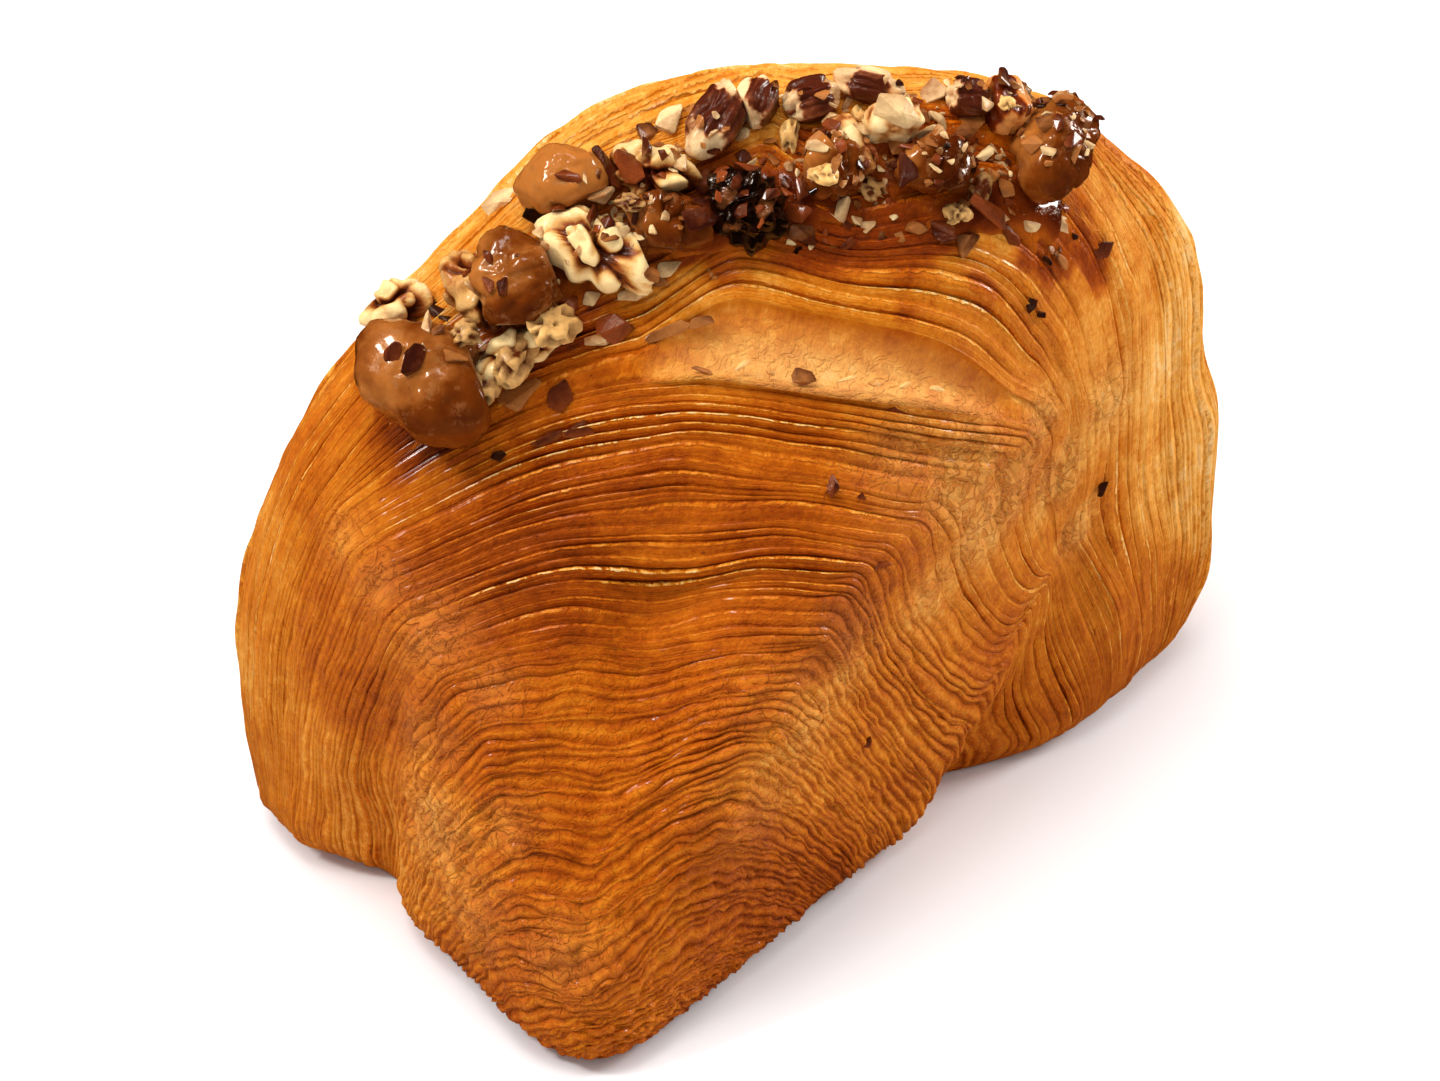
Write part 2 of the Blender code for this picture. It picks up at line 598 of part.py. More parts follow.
def main():
    """Build the bun, its toppings and the bits fused to it."""
    for item in list(bpy.data.objects):
        bpy.data.objects.remove(item)
    collection = bpy.data.collections.new("nut_topped_pastry")
    bpy.context.scene.collection.children.link(collection)
    rng = np.random.default_rng(SEED)

    plain = bun_mesh(grooved=False)
    tree = BVHTree.FromBMesh(plain)
    plain.free()
    grooved = bun_mesh()
    crust = BVHTree.FromBMesh(grooved)
    bun = add_object("pastry", grooved, "dough", collection)

    seats = [seat(place, size, turn, tree) for _, _, place, size, turn in TOPPINGS]
    toppings = []
    clear_of = []
    for index, (name, form, _, _, _) in enumerate(TOPPINGS):
        bm = topping_mesh(index, seats, (tree, crust))
        clear_of.append(BVHTree.FromBMesh(bm))
        toppings.append(add_object(name, bm, form, collection))

    bits = bpy.data.collections.new("chopped_bits")
    bpy.context.scene.collection.children.link(bits)
    for number, (foot, normal, size) in enumerate(bit_places(crust, clear_of, rng)):
        add_object(f"bit_{number}", bit_mesh(foot, normal, size, rng), "chunk", bits)
    fuse(bun, bits)
    centre_on_base([bun, *toppings])


if __name__ == "__main__":
    main()
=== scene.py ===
"""Looks of the nut-topped laminated pastry: crust, caramel, nuts, crumbs, floor, light and camera.

The dough repeats the run of the solid's surface at a finer pitch, with every thin layer as
relief. Lengths are in millimetres in the dough's own frame (+X along the crest, -Y at the front
fold, +Z up, floor at 0), and placed() brings them into the shared frame in metres.
"""

from math import cos, pi, radians, sin, sqrt

import bmesh
import bpy
import numpy as np
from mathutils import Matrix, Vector, noise
from mathutils.bvhtree import BVHTree


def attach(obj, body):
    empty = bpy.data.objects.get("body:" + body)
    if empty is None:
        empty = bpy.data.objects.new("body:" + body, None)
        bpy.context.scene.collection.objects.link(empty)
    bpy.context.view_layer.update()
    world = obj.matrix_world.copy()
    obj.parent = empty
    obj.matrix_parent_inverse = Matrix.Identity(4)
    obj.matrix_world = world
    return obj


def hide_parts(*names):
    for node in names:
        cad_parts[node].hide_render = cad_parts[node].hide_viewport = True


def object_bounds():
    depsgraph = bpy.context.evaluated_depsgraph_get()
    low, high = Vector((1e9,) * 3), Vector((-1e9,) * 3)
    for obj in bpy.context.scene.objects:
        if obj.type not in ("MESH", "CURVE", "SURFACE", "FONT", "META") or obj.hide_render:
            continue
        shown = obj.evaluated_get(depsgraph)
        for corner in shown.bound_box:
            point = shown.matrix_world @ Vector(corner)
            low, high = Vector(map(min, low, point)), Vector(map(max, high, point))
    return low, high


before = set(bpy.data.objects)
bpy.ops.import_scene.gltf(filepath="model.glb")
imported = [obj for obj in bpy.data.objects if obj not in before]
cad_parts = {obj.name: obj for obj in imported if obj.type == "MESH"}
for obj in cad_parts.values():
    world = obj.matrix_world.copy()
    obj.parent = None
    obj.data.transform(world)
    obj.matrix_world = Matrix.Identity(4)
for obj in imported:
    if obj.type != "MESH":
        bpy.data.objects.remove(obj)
cad_low, cad_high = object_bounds()

MM = 0.001
MIDDLE = (5.206, 3.635)                 # middle of the solid's box in the dough's own frame
BOX_MARGIN = 0.05                       # how far inside the solid's box every place stays
BOX_EASE = 0.8                          # the depth under its sides over which places are eased back

# ---------------------------------------------------------------- the run of the dough's surface
HEIGHT = 92.7
WIDEST_LEVEL = 25.2
SIDES = ((-51.0, 30.1), (206.5, 48.1), (127.0, 32.3), (25.7, 57.5))  # facing in degrees, distance
CORNER_SHARPNESS = (13.5, 2.5)
SHARPNESS_LEVELS = (24.0, 76.0)
SHOULDER = 2.41
TUCK = 0.054
FOOT_ROUNDING = 4.4
MEAN_RADIUS = 44.0
LEAN = 8.8
LEAN_LEVELS = (26.4, 88.0)
RIGHT_STRETCH = 0.076
RIGHT_STRETCH_WIDTH = 44.0
PANELS = ((-101.5, 35.3, 37.7), (78.5, 40.0, 45.8))    # facing, slope of the normal, distance
PANEL_SOFTNESS = 8.0
CORE = np.array((0.0, 0.0, 26.4))
VALLEY_LINE = ((-21.1, -44.0, 17.6), (-17.6, -38.7, 29.9), (-10.6, -32.6, 44.0))
LEFT_RIDGE_LINE = ((-27.3, -45.8, 7.0), (-29.9, -35.2, 33.4), (-40.5, -21.1, 47.5))
RIGHT_RIDGE_LINE = ((-5.3, -40.5, 26.4), (10.6, -32.6, 44.0), (33.4, -17.6, 49.3))
# The folds and swellings: each presses the surface in along its path, or out where its push is
# negative, from its first push to its last.
FOLDS = (
    dict(path=((-45.8, -18.5, 0.0), (-40.5, -22.9, 15.8), (-37.8, -25.5, 33.4)), width=5.3, push=(7.0, 1.3)),
    dict(path=VALLEY_LINE, width=7.9, push=(0.4, 3.5)),
    dict(path=((27.4, -15.6, 0.0), (37.0, -12.5, 12.0), (44.0, -8.9, 29.5)), width=5.3, push=(6.8, 0.6)),
    dict(path=((44.0, -8.9, 29.5), (51.5, -5.5, 18.5), (57.5, -2.0, 12.0)), width=4.2, push=(2.2, 3.2)),
    dict(path=LEFT_RIDGE_LINE, width=7.0, push=(-1.8, -2.6)),
    dict(path=RIGHT_RIDGE_LINE, width=7.9, push=(-2.6, -2.6)),
    dict(path=((44.0, -12.3, 1.8), (51.0, -5.3, 15.8)), width=10.6, push=(-5.2, -3.5)),
    dict(path=((-54.6, -5.3, 0.0), (-48.4, -14.1, 3.5)), width=6.2, push=(-2.8, -2.8)),
    dict(path=((52.8, -7.0, 0.0), (59.0, 5.3, 8.8)), width=8.8, push=(-2.2, -2.0)),
    dict(path=((50.0, 1.0, 66.0), (56.0, 4.5, 51.0), (59.0, 6.5, 41.0)), width=7.0, push=(1.3, 1.5)),
    dict(path=((61.3, 9.0, 29.0), (60.6, 6.0, 13.0)), width=6.6, push=(-2.0, -1.2)),
)
TWIN_BULGE = 0.5                        # how far a swelling repeats on the half-turned side
# The layers' edges: nested arches round the focus at the front foot, their feet on the floor.
FOCUS_BEARING = 182.0
ARCH_TURN = (0.85, 0.277)
ARCH_SPREAD = 0.627
SPREAD_LEVEL = 0.305
ARCH_ROUNDING = 0.196
# Where the arches are pulled up the surface or let down it.
TUGS = (
    dict(path=((27.5, -12.0, -4.0), (42.0, -8.0, 30.0)), width=5.0, rounding=5.0, pull=(0.22, 0.0)),
    dict(path=RIGHT_RIDGE_LINE, width=7.5, rounding=1.76, pull=(0.042, 0.042)),
    dict(path=LEFT_RIDGE_LINE, width=4.7, rounding=1.76, pull=(0.022, 0.022)),
    dict(path=VALLEY_LINE, width=8.3, rounding=1.76, pull=(-0.080, -0.080)),
    dict(path=((35.2, -13.2, 54.6), (39.6, -8.8, 61.6)), width=28.3, rounding=1.76, pull=(-0.040, -0.040)),
)
TUG_FADES = ((0.0, 0.25), (0.86, 1.0))

# ---------------------------------------------------------------- the crust's layers
LAYERS = 96                             # on each half
OVER = 204                              # points along a layer's edge over the bun
UNDER = 12
GRID_LEVELS = 420                       # levels at which a half's smooth surface is worked out
LAYER_PARTS = (0.0, 0.16, 0.50, 0.84)   # a layer's groove, its lip, its middle and its foot
LAYER_HEIGHTS = (-1.0, 0.50, 0.22, -0.20)
PUFFY_HEIGHTS = (-0.7, -0.05, 0.60, 0.28)  # the same where the layers have swollen into soft ridges
PUFFY_START = (0.45, 0.30)              # levels where they begin to, left and right of the right ridge
PUFFY_EASE = 0.14
RIGHT_RIDGE = (0.57, 0.68)              # where the right ridge lies along the layers
PUFFY_FLANK = (0.20, 0.33)              # where along its layers the left flank ends, swollen too
GROOVE_DEPTH = 0.50
GROOVE_KINDS = ((0.52, 0.22, 0.60), (0.33, 0.60, 1.05), (0.15, 1.15, 1.75))  # share, least and most deep
SHALLOWEST = 0.06
DEEPEST = (0.72, 2.00)                  # at the crest, and past the level where it ends
CREST_END = 0.12
SEAM_DEPTH = 0.3                        # how far the two halves dip where they meet
BACK_ACROSS = 300                       # sets the back's layers apart from the front's in their finish
CROWDING = (0.06, 0.26)                 # spacings of the rings over which the relief fades in
FOOT_FADE = (0.2, 2.2)
# The opened layer: its level, its middle and half stretch along the layer, how far its upper and
# lower edges part, and the heights of its five rings, from the edge above to the flap's lip.
OPENED = dict(
    level=0.203, middle=0.566, half=0.108, up=0.050, down=0.018,
    # The crumb shares, low at the edge above, leave the opening darker there: partly its own orange, partly
    # painted shade under the layer above.
    heights=(-0.5, -1.5, -1.8, -1.3, 1.1), crumb=(0.1, 0.50, 0.90, 1.0, 0.70),
)
FLAP_LEVELS = (0.206, 0.270)
FLAP_LIFT = (0.54, 0.62, 0.700, 0.722)  # where along it the flap's lower edge stands off
FLAP_LIFT_HEIGHT = 0.9
SEED = 11

# How brown the crust is, seen at places of the photograph: pixel across and down, and a tone from
# 0 for pale crumb to 1 for the darkest crust. The pale tones on the right rim are partly painted
# rim light. The hidden half takes its tones from twins.
BROWNING = {
    "left edge": (275, 600, 0.42), "left shoulder": (320, 430, 0.56), "left lobe": (340, 640, 0.64),
    "left foot": (300, 760, 0.44), "left hollow": (400, 470, 0.46), "left ridge": (430, 640, 0.64),
    "left ridge's foot": (440, 860, 0.46), "ridge's inner side": (490, 700, 0.70),
    "panel's left end": (470, 560, 0.80), "panel's darkest part": (530, 580, 0.87),
    "panel's middle": (650, 560, 0.63), "panel's right part": (780, 560, 0.73),
    "panel's right end": (880, 520, 0.63), "panel's low part": (690, 650, 0.70),
    "over the panel": (640, 440, 0.72), "under the toppings": (500, 470, 0.68),
    "under the opening": (800, 410, 0.66), "opening's left end": (740, 350, 0.36),
    "opening": (860, 352, 0.30), "opening's right end": (980, 375, 0.46),
    "over the opening": (880, 290, 0.46), "crest's right part": (1120, 320, 0.34),
    # Painted rim light: the right rim's tones are set paler than its crust.
    "right rim, high": (1190, 330, 0.15), "right rim, low": (1195, 480, 0.19),
    "second opening": (1000, 480, 0.50), "right ridge": (960, 570, 0.40),
    "right hollow": (1060, 600, 0.50), "right side, low": (1150, 620, 0.54),
    "right foot": (1080, 680, 0.54), "under the ridge": (1000, 660, 0.53),
    "right flank": (900, 680, 0.50), "near right foot": (820, 760, 0.42),
    "front foot": (760, 880, 0.72), "valley": (600, 720, 0.62), "valley's foot": (600, 860, 0.64),
    "bottom tip": (610, 1000, 0.64), "bottom left": (500, 950, 0.64),
    "crest behind the band": (700, 75, 0.28), "crest, left": (450, 240, 0.28),
    "crest, right": (900, 70, 0.26),
}
BROWNING_REACH = 6.5                    # millimetres over which each tone is felt strongly
FAR_BROWNING = 2e-3                     # how faintly it is felt beyond
TWIN_TRUST = 0.25                       # what their twins on the hidden half count for
FOOT_TONE = 0.66
# SEAM_TONE darkens the seam where the halves meet: painted shade, like the other grooves.
SEAM_TONE = 0.60
# Pale blistered places, where layers have parted or crowd together: pixel across and down, reach
# in millimetres and strength.
BLISTERS = {
    "second opening's left end": (900, 455, 4.5, 0.7), "second opening": (965, 478, 6.0, 1.0),
    "second opening's right end": (1015, 485, 5.5, 1.0), "below it": (985, 520, 6.0, 0.9),
    "right ridge's crest": (1060, 475, 4.5, 1.0), "right ridge, high": (1045, 425, 3.5, 0.9),
    "right ridge, low": (1075, 525, 3.5, 0.8), "right side": (1110, 400, 5.0, 0.6),
    "inner right ridge": (930, 590, 5.5, 0.5), "left ridge's crest": (380, 585, 3.5, 0.6),
    "left ridge's middle": (430, 635, 4.5, 0.7), "left ridge's end": (490, 690, 3.0, 0.5),
    "left ridge's foot": (435, 830, 6.0, 0.8), "valley's left side": (500, 830, 3.5, 0.5),
    "bottom": (560, 960, 5.0, 0.5), "left ridge, low": (425, 740, 5.0, 0.5),
    "left foot's front": (470, 910, 6.0, 0.6),
    "right ridge's middle": (850, 650, 6.0, 0.45), "right ridge's foot": (800, 720, 7.0, 0.40),
    "under the right ridge": (760, 800, 6.0, 0.35), "left ridge, high": (345, 540, 3.5, 0.4),
}
# Smooth places, where the layers lie close: pixel across and down, reach and strength.
SMOOTH = {
    "valley, high": (590, 720, 5.0, 0.8), "valley": (590, 780, 6.0, 0.9),
    "valley, low": (605, 850, 6.5, 0.9), "valley's foot": (620, 930, 6.0, 0.6),
    "over the panel": (700, 470, 9.0, 0.35), "right flank": (900, 690, 7.0, 0.4),
}

# ---------------------------------------------------------------- toppings
# Name, form, place (bearing and rise from the core, in degrees), length, width and thickness,
# and the turn of the length from +X towards the crest.
TOPPINGS = (
    ("caramel_1", "lump", (-159, 47), (16.5, 11.0, 9.0), -47),
    ("caramel_2", "lump", (-158, 63), (11.0, 9.5, 9.0), -76),
    ("caramel_3", "lump", (-170, 74), (10.0, 7.0, 6.5), -7),
    ("caramel_4", "lump", (-124, 79), (11.0, 6.5, 6.0), -22),
    ("caramel_5", "lump", (-34, 75), (6.5, 7.5, 6.5), 0),
    ("caramel_6", "lump", (-21, 65.5), (8.0, 6.0, 6.0), -1),
    ("caramel_7", "lump", (-8, 55.5), (12.5, 8.0, 8.5), 63),
    ("walnut_1", "walnut", (-175, 49.5), (8.4, 5.2, 4.5), -13),
    ("walnut_2", "walnut", (-165, 59), (9.2, 5.4, 5.0), -67),
    ("walnut_3", "walnut", (-147, 72), (15.0, 6.6, 6.0), -30),
    ("walnut_4", "walnut", (-142, 82), (9.8, 5.8, 5.0), -30),
    ("walnut_5", "walnut", (-150, 57), (12.0, 4.0, 4.0), 25),
    ("pecan_1", "pecan", (-56, 87.5), (11.0, 5.4, 5.0), 49),
    ("pecan_2", "pecan", (-16, 84.5), (6.4, 4.4, 5.0), 56),
    ("pecan_3", "pecan", (-11, 79), (6.8, 4.8, 4.0), 8),
    ("pecan_4", "pecan", (-6, 73.5), (8.6, 3.8, 4.0), -29),
    ("pecan_5", "pecan", (-6, 64), (5.6, 4.2, 4.0), -10),
    ("nut_slab", "chunk", (-25, 74), (6.8, 3.0, 3.2), -72),
    ("nut_chunk", "chunk", (-15, 71), (5.8, 4.2, 4.0), -2),
    ("nut_cup", "cup", (-5, 60.5), (6.8, 4.8, 5.0), -77),
    ("burnt_cluster", "cluster", (-74, 79.5), (9.0, 7.0, 6.0), -50),
)
SQUARENESS = {"lump": 2.3, "walnut": 2.2, "pecan": 2.4, "chunk": 4.5, "cup": 3.0, "cluster": 2.0}
BULGE_MARGIN = 1.15                     # how far past its plain ellipsoid a topping is taken to swell
SUNK = 0.30                             # the share of its half thickness that a topping is sunk by
GAP = 0.05                              # left between toppings that would meet
TOPPING_RINGS = (72, 44)                # steps round a topping's sphere, and from pole to pole

# How light the sugar of each lump is, and how deep its ribs are where it wraps a ribbed nut.
AMBER = {"caramel_1": 0.60, "caramel_2": 0.56, "caramel_3": 0.98, "caramel_4": 0.50, "caramel_5": 0.60,
         "caramel_6": 0.46, "caramel_7": 0.56, "nut_cup": 0.9}
PAINTED_LIGHT_SIDE = (-0.8, 0, 0.6)         # the side of the lumps given painted light, towards the upper left
RIBBED = {1: 0.35, 3: 0.75, 4: 0.80, 5: 0.40, 6: 0.30}
WALNUT_PALENESS = {8: 0.62, 10: 0.85}
CHUNK_PALENESS = {17: -0.1, 18: 0.35}

# The line that the syrup and the chopped bits follow over the crest.
BAND = ((-37.0, -12.5, 51.0), (-31.0, -12.0, 58.0), (-21.0, -9.5, 68.0), (-9.0, -9.0, 75.5),
        (4.0, -9.5, 78.0), (17.0, -9.0, 77.5), (29.0, -7.5, 74.5), (37.0, -5.5, 69.5))
SYRUP_WIDTH = 5.0
SYRUP_THICKNESS = 1.2
SYRUP_FINENESS = 3                      # points of the film for each one along a line of the dough's grid
SYRUP_DIP = -3.4                        # the lowest that its top goes under the dough
SYRUP_DEPTH = 4.4                       # how far under the dough its body reaches
RIGHT_HALF = (0.42, 0.70)               # shares of the band over which its broad right half begins
GLAZE_WIDTH = 8.6                       # how far from that line the layers are soaked with syrup

# The chopped bits: at how many places a kind is tried, of which those already taken stay empty, its
# least and greatest width in millimetres, its dark and light tones as they show on a screen, its
# gloss and its slot.
BITS = {
    "curds": (16, (1.8, 3.0), (88, 34, 8), (240, 184, 108), 0.15, "walnut"),
    "pale_bits": (260, (0.6, 1.8), (150, 84, 34), (240, 204, 146), 0.1, "nut_meat"),
    "tan_bits": (300, (0.7, 2.2), (74, 26, 6), (178, 108, 50), 0.3, "walnut"),
    "red_bits": (420, (0.9, 3.2), (60, 16, 5), (138, 60, 20), 0.5, "pecan"),
    "dark_bits": (60, (0.8, 2.0), (12, 4, 2), (52, 18, 6), 0.5, "burnt_sugar"),
    "crust_flakes": (0, (1.0, 2.0), (196, 118, 40), (244, 196, 124), 0.0, "laminated_crust"),
}
LOBED = ("curds",)                      # the kinds with a lobed form
OFF_THE_BURNT = ("curds", "pale_bits", "tan_bits")  # the kinds kept off the burnt cluster
BURNT_REACH = 6.5
FORMS_PER_KIND = 10
# Pieces set one by one, by kind: pixel of the photograph across and down, length, width and height
# in millimetres, and the turn of the length from the right towards the top of the picture.
SMALL_PIECES = {
    "curds": {
        "curd under the left lumps": ((462, 339), (3.4, 3.2, 2.2), 20),
        "curl, low": ((484, 388), (4.2, 4.0, 3.0), -70),
        "curl, middle": ((512, 362), (7.0, 4.0, 3.0), 45),
        "curl, high": ((548, 330), (6.5, 4.2, 3.0), 35),
        "lobed cream bit": ((790, 138), (4.4, 2.2, 2.0), 80),
    },
    "pale_bits": {
        "kite flake": ((499, 203), (4.4, 3.2, 1.0), 50),
        "sliver": ((429, 323), (3.2, 1.4, 1.0), 75),
        "bit beside the chunk": ((597, 341), (3.4, 1.7, 1.2), 20),
        "row of bits, first": ((594, 300), (2.2, 1.7, 1.2), 0),
        "row of bits, second": ((633, 294), (2.8, 2.2, 1.5), 30),
        "row of bits, third": ((672, 271), (3.2, 2.0, 1.5), 10),
        "almond bit": ((598, 193), (3.4, 2.7, 1.5), 30),
        "strip beside it": ((738, 105), (7.0, 2.0, 1.8), 60),
        "pale bit by the strip": ((740, 137), (2.4, 1.9, 1.3), 10),
        "yellow cream bit": ((751, 168), (2.3, 1.4, 1.2), 30),
        "layered flake": ((671, 122), (3.6, 2.6, 1.2), 45),
        "pale block": ((893, 114), (5.4, 3.8, 2.6), 5),
        "stick": ((847, 97), (3.2, 1.1, 1.0), 75),
        "pale cluster": ((936, 92), (3.6, 2.6, 2.0), 35),
        "pale bit below": ((845, 209), (2.6, 1.9, 1.4), 70),
        "pale bit, right": ((1031, 223), (2.0, 1.6, 1.1), 0),
    },
    "tan_bits": {
        "seeds on the first lump": ((476, 362), (3.4, 2.4, 1.4), 20),
        "seed beside them": ((455, 356), (2.4, 1.8, 1.2), -30),
        "leaf by the curl": ((520, 393), (4.4, 3.0, 1.0), 20),
        "row of bits, fourth": ((650, 276), (2.0, 1.6, 1.1), 60),
        "sunk flake": ((669, 330), (4.6, 1.6, 0.6), 22),
        "sunk flake, right": ((703, 322), (3.0, 1.3, 0.6), 15),
        "pink chip": ((644, 133), (2.8, 2.0, 1.0), 20),
        "golden bead": ((895, 148), (1.9, 1.8, 1.5), 0),
        "tan oval": ((968, 128), (3.6, 2.4, 1.8), 40),
        "tan bit below": ((965, 245), (3.2, 2.4, 1.6), 10),
        "chip in the opening": ((800, 376), (3.4, 1.5, 0.7), -8),
        "thin chip in the opening": ((700, 371), (2.4, 0.8, 0.4), -15),
    },
    "red_bits": {
        "red glossy triangle": ((561, 396), (3.2, 2.6, 1.2), 50),
        "rough dark bit": ((548, 436), (4.4, 2.4, 1.1), 5),
        "rough dark bit, right": ((577, 432), (3.6, 2.2, 1.1), 15),
        "red chunk": ((614, 330), (3.8, 3.2, 2.2), -20),
        "skin leaf": ((607, 168), (5.0, 2.8, 1.4), 80),
        "purple strip": ((706, 122), (8.5, 3.0, 2.4), 58),
        "dark knob": ((757, 80), (3.0, 2.8, 2.4), 0),
        "glazed strip": ((858, 68), (5.4, 2.6, 2.2), -25),
        "rolled flake": ((985, 212), (5.6, 2.2, 1.6), -28),
        "rolled flake, low": ((1005, 232), (3.8, 1.6, 1.2), -35),
        "skin ring": ((1103, 250), (3.0, 1.9, 1.1), 10),
        "stray with five sides": ((893, 412), (2.4, 2.3, 1.1), 20),
        "long stray": ((833, 484), (3.2, 1.2, 0.9), 82),
        "stray by the long one": ((860, 497), (1.1, 0.9, 0.5), 10),
        "stray on the panel": ((703, 550), (1.5, 0.9, 0.7), 40),
        "stray on the fold": ((882, 566), (1.9, 1.1, 0.7), 15),
        "stray near the foot": ((868, 742), (1.3, 1.1, 0.7), 60),
    },
    "dark_bits": {
        "grey shard": ((435, 304), (6.0, 2.4, 1.2), -40),
        "dark speck by them": ((499, 456), (1.5, 1.2, 0.7), 0),
        "shard in the middle": ((534, 211), (3.2, 2.2, 1.0), 40),
        "dot on the crest": ((1045, 262), (1.4, 1.1, 0.7), 0),
        "dot by it": ((1075, 235), (1.2, 1.0, 0.7), 0),
        "dots on the shoulder": ((1030, 305), (1.7, 1.2, 0.7), 50),
        "dot under them": ((1041, 313), (1.3, 1.0, 0.7), 50),
        "stray on the right": ((1102, 488), (1.8, 1.3, 0.8), 50),
    },
    "crust_flakes": {
        "flake on the lip, first": ((744, 366), (1.9, 0.8, 0.4), 35),
        "flake on the lip, second": ((772, 373), (1.4, 0.6, 0.4), -20),
        "flake on the lip, third": ((848, 380), (2.2, 0.6, 0.4), 15),
        "flake on the lip, fourth": ((876, 384), (1.8, 0.6, 0.4), -10),
        "flake on the lip, fifth": ((905, 386), (1.4, 0.6, 0.4), 25),
        "flake on the lip, last": ((938, 388), (2.0, 0.6, 0.4), -5),
    },
}

# ---------------------------------------------------------------- camera
CAMERA_AZIMUTH = -12.0
CAMERA_ELEVATION = 35.239
CAMERA_DISTANCE = 444.4
CAMERA_TARGET = np.array((1.76, -0.66, 29.5))
CAMERA_LENS = 100.0
CAMERA_SENSOR = 36.0
CAMERA_REACH = (0.02, 20.0)             # the nearest and the farthest that it sees, in metres
PHOTO_SIZE = (1440, 1081)

# Lights: place in metres, size, power and whether they show in gloss.
SOFTBOXES = {
    "overhead_box": ((-0.15, 0.05, 1.00), 0.80, 6.6, False),
    "glint_box": ((-0.20, -0.10, 1.00), 0.20, 1.0, True),
    "top_left_box": ((-0.60, 0.00, 0.70), 0.16, 3.6, True),
    "right_rim_box": ((0.78, 0.16, 0.38), 0.24, 4.6, True),
}
SKY_STRENGTH = 0.60


def ease(low, high, x):
    """A smooth step from 0 at low to 1 at high."""
    t = np.clip((x - low) / (high - low), 0, 1)
    return t * t * (3 - 2 * t)


def bell(x, width):
    """1 where x is 0, fading away over a width."""
    return np.exp(-((x / width) ** 2))


def unit(vectors):
    """The vectors at length 1."""
    return vectors / (np.linalg.norm(vectors, axis=-1, keepdims=True) + 1e-12)


def placed(points):
    """Points of the dough's own frame, in the shared frame in metres."""
    return (np.asarray(points, float) - np.array((*MIDDLE, 0))) * MM


def corners_of(mesh):
    """The corners of a mesh, one in each row."""
    corners = np.empty(len(mesh.vertices) * 3)
    mesh.vertices.foreach_get("co", corners)
    return corners.reshape(-1, 3)


def write_marks(mesh, **marks):
    """Give the corners of a mesh their values of the named marks, which its finish reads."""
    for name, values in marks.items():
        mark = mesh.attributes.new(name, "FLOAT", "POINT")
        mark.data.foreach_set("value", values.astype(np.float32))


def add_object(name, data):
    """A new object in the scene."""
    made = bpy.data.objects.new(name, data)
    bpy.context.scene.collection.objects.link(made)
    return made


def select_none():
    """Deselect everything before a piece is modelled."""
    if bpy.context.object and bpy.context.object.mode != "OBJECT":
        bpy.ops.object.mode_set(mode="OBJECT")
    bpy.ops.object.select_all(action="DESELECT")


def add_sphere(name, segments, rings):
    """A new sphere of radius 1, to be moved into the form of a piece, and its corners."""
    select_none()
    bpy.ops.mesh.primitive_uv_sphere_add(segments=segments, ring_count=rings, radius=1)
    piece = bpy.context.object
    piece.name = name
    return piece, corners_of(piece.data)


# ---------------------------------------------------------------- surface
def side_radius(bearing, sharpness):
    """Radius of the rounded four-sided plan at a bearing."""
    total = 0
    for facing, distance in SIDES:
        total = total + (np.maximum(0, np.cos(bearing - radians(facing))) / distance) ** sharpness
    return total ** (-1 / sharpness)


def dome_section(count=400):
    """The upright section: run from 0 at the top to 1 at the floor, radius ratio and height."""
    turn = np.linspace(0, pi / 2, count)
    ratio = np.sin(turn) ** (2 / SHOULDER)
    height = WIDEST_LEVEL + (HEIGHT - WIDEST_LEVEL) * np.cos(turn) ** (2 / SHOULDER)
    low = np.linspace(WIDEST_LEVEL, 0, count // 2)[1:]
    low_ratio = 1 - TUCK * ((WIDEST_LEVEL - low) / WIDEST_LEVEL) ** 2.2
    under = np.clip(FOOT_ROUNDING - low, 0, FOOT_ROUNDING)
    low_ratio = low_ratio - (FOOT_ROUNDING - np.sqrt(FOOT_ROUNDING**2 - under**2)) / MEAN_RADIUS
    ratio = np.concatenate([ratio, low_ratio])
    height = np.concatenate([height, low])
    steps = np.hypot(np.diff(ratio * MEAN_RADIUS), np.diff(height))
    run = np.concatenate([[0], np.cumsum(steps)])
    return run / run[-1], ratio, height


SECTION = dome_section()


def dome(run, bearing):
    """Points of the plain dome, before its folds."""
    ratio = np.interp(run, SECTION[0], SECTION[1])
    height = np.interp(run, SECTION[0], SECTION[2])
    low, high = CORNER_SHARPNESS
    sharpness = low + (high - low) * ease(*SHARPNESS_LEVELS, height)
    radius = ratio * side_radius(bearing, sharpness)
    points = np.stack([radius * np.cos(bearing), radius * np.sin(bearing), height], -1)
    for facing, slope, distance in PANELS:
        facing, slope = radians(facing), radians(slope)
        normal = np.array([cos(facing) * cos(slope), sin(facing) * cos(slope), sin(slope)])
        reach = np.maximum(0, (points - CORE) @ normal) / distance
        shrink = (1 + reach**PANEL_SOFTNESS) ** (-1 / PANEL_SOFTNESS)
        points = CORE + (points - CORE) * shrink[..., None]
    points[..., 0] += LEAN * ease(*LEAN_LEVELS, points[..., 2])
    points[..., 0] *= 1 + RIGHT_STRETCH * ease(0, RIGHT_STRETCH_WIDTH, points[..., 0])
    return points


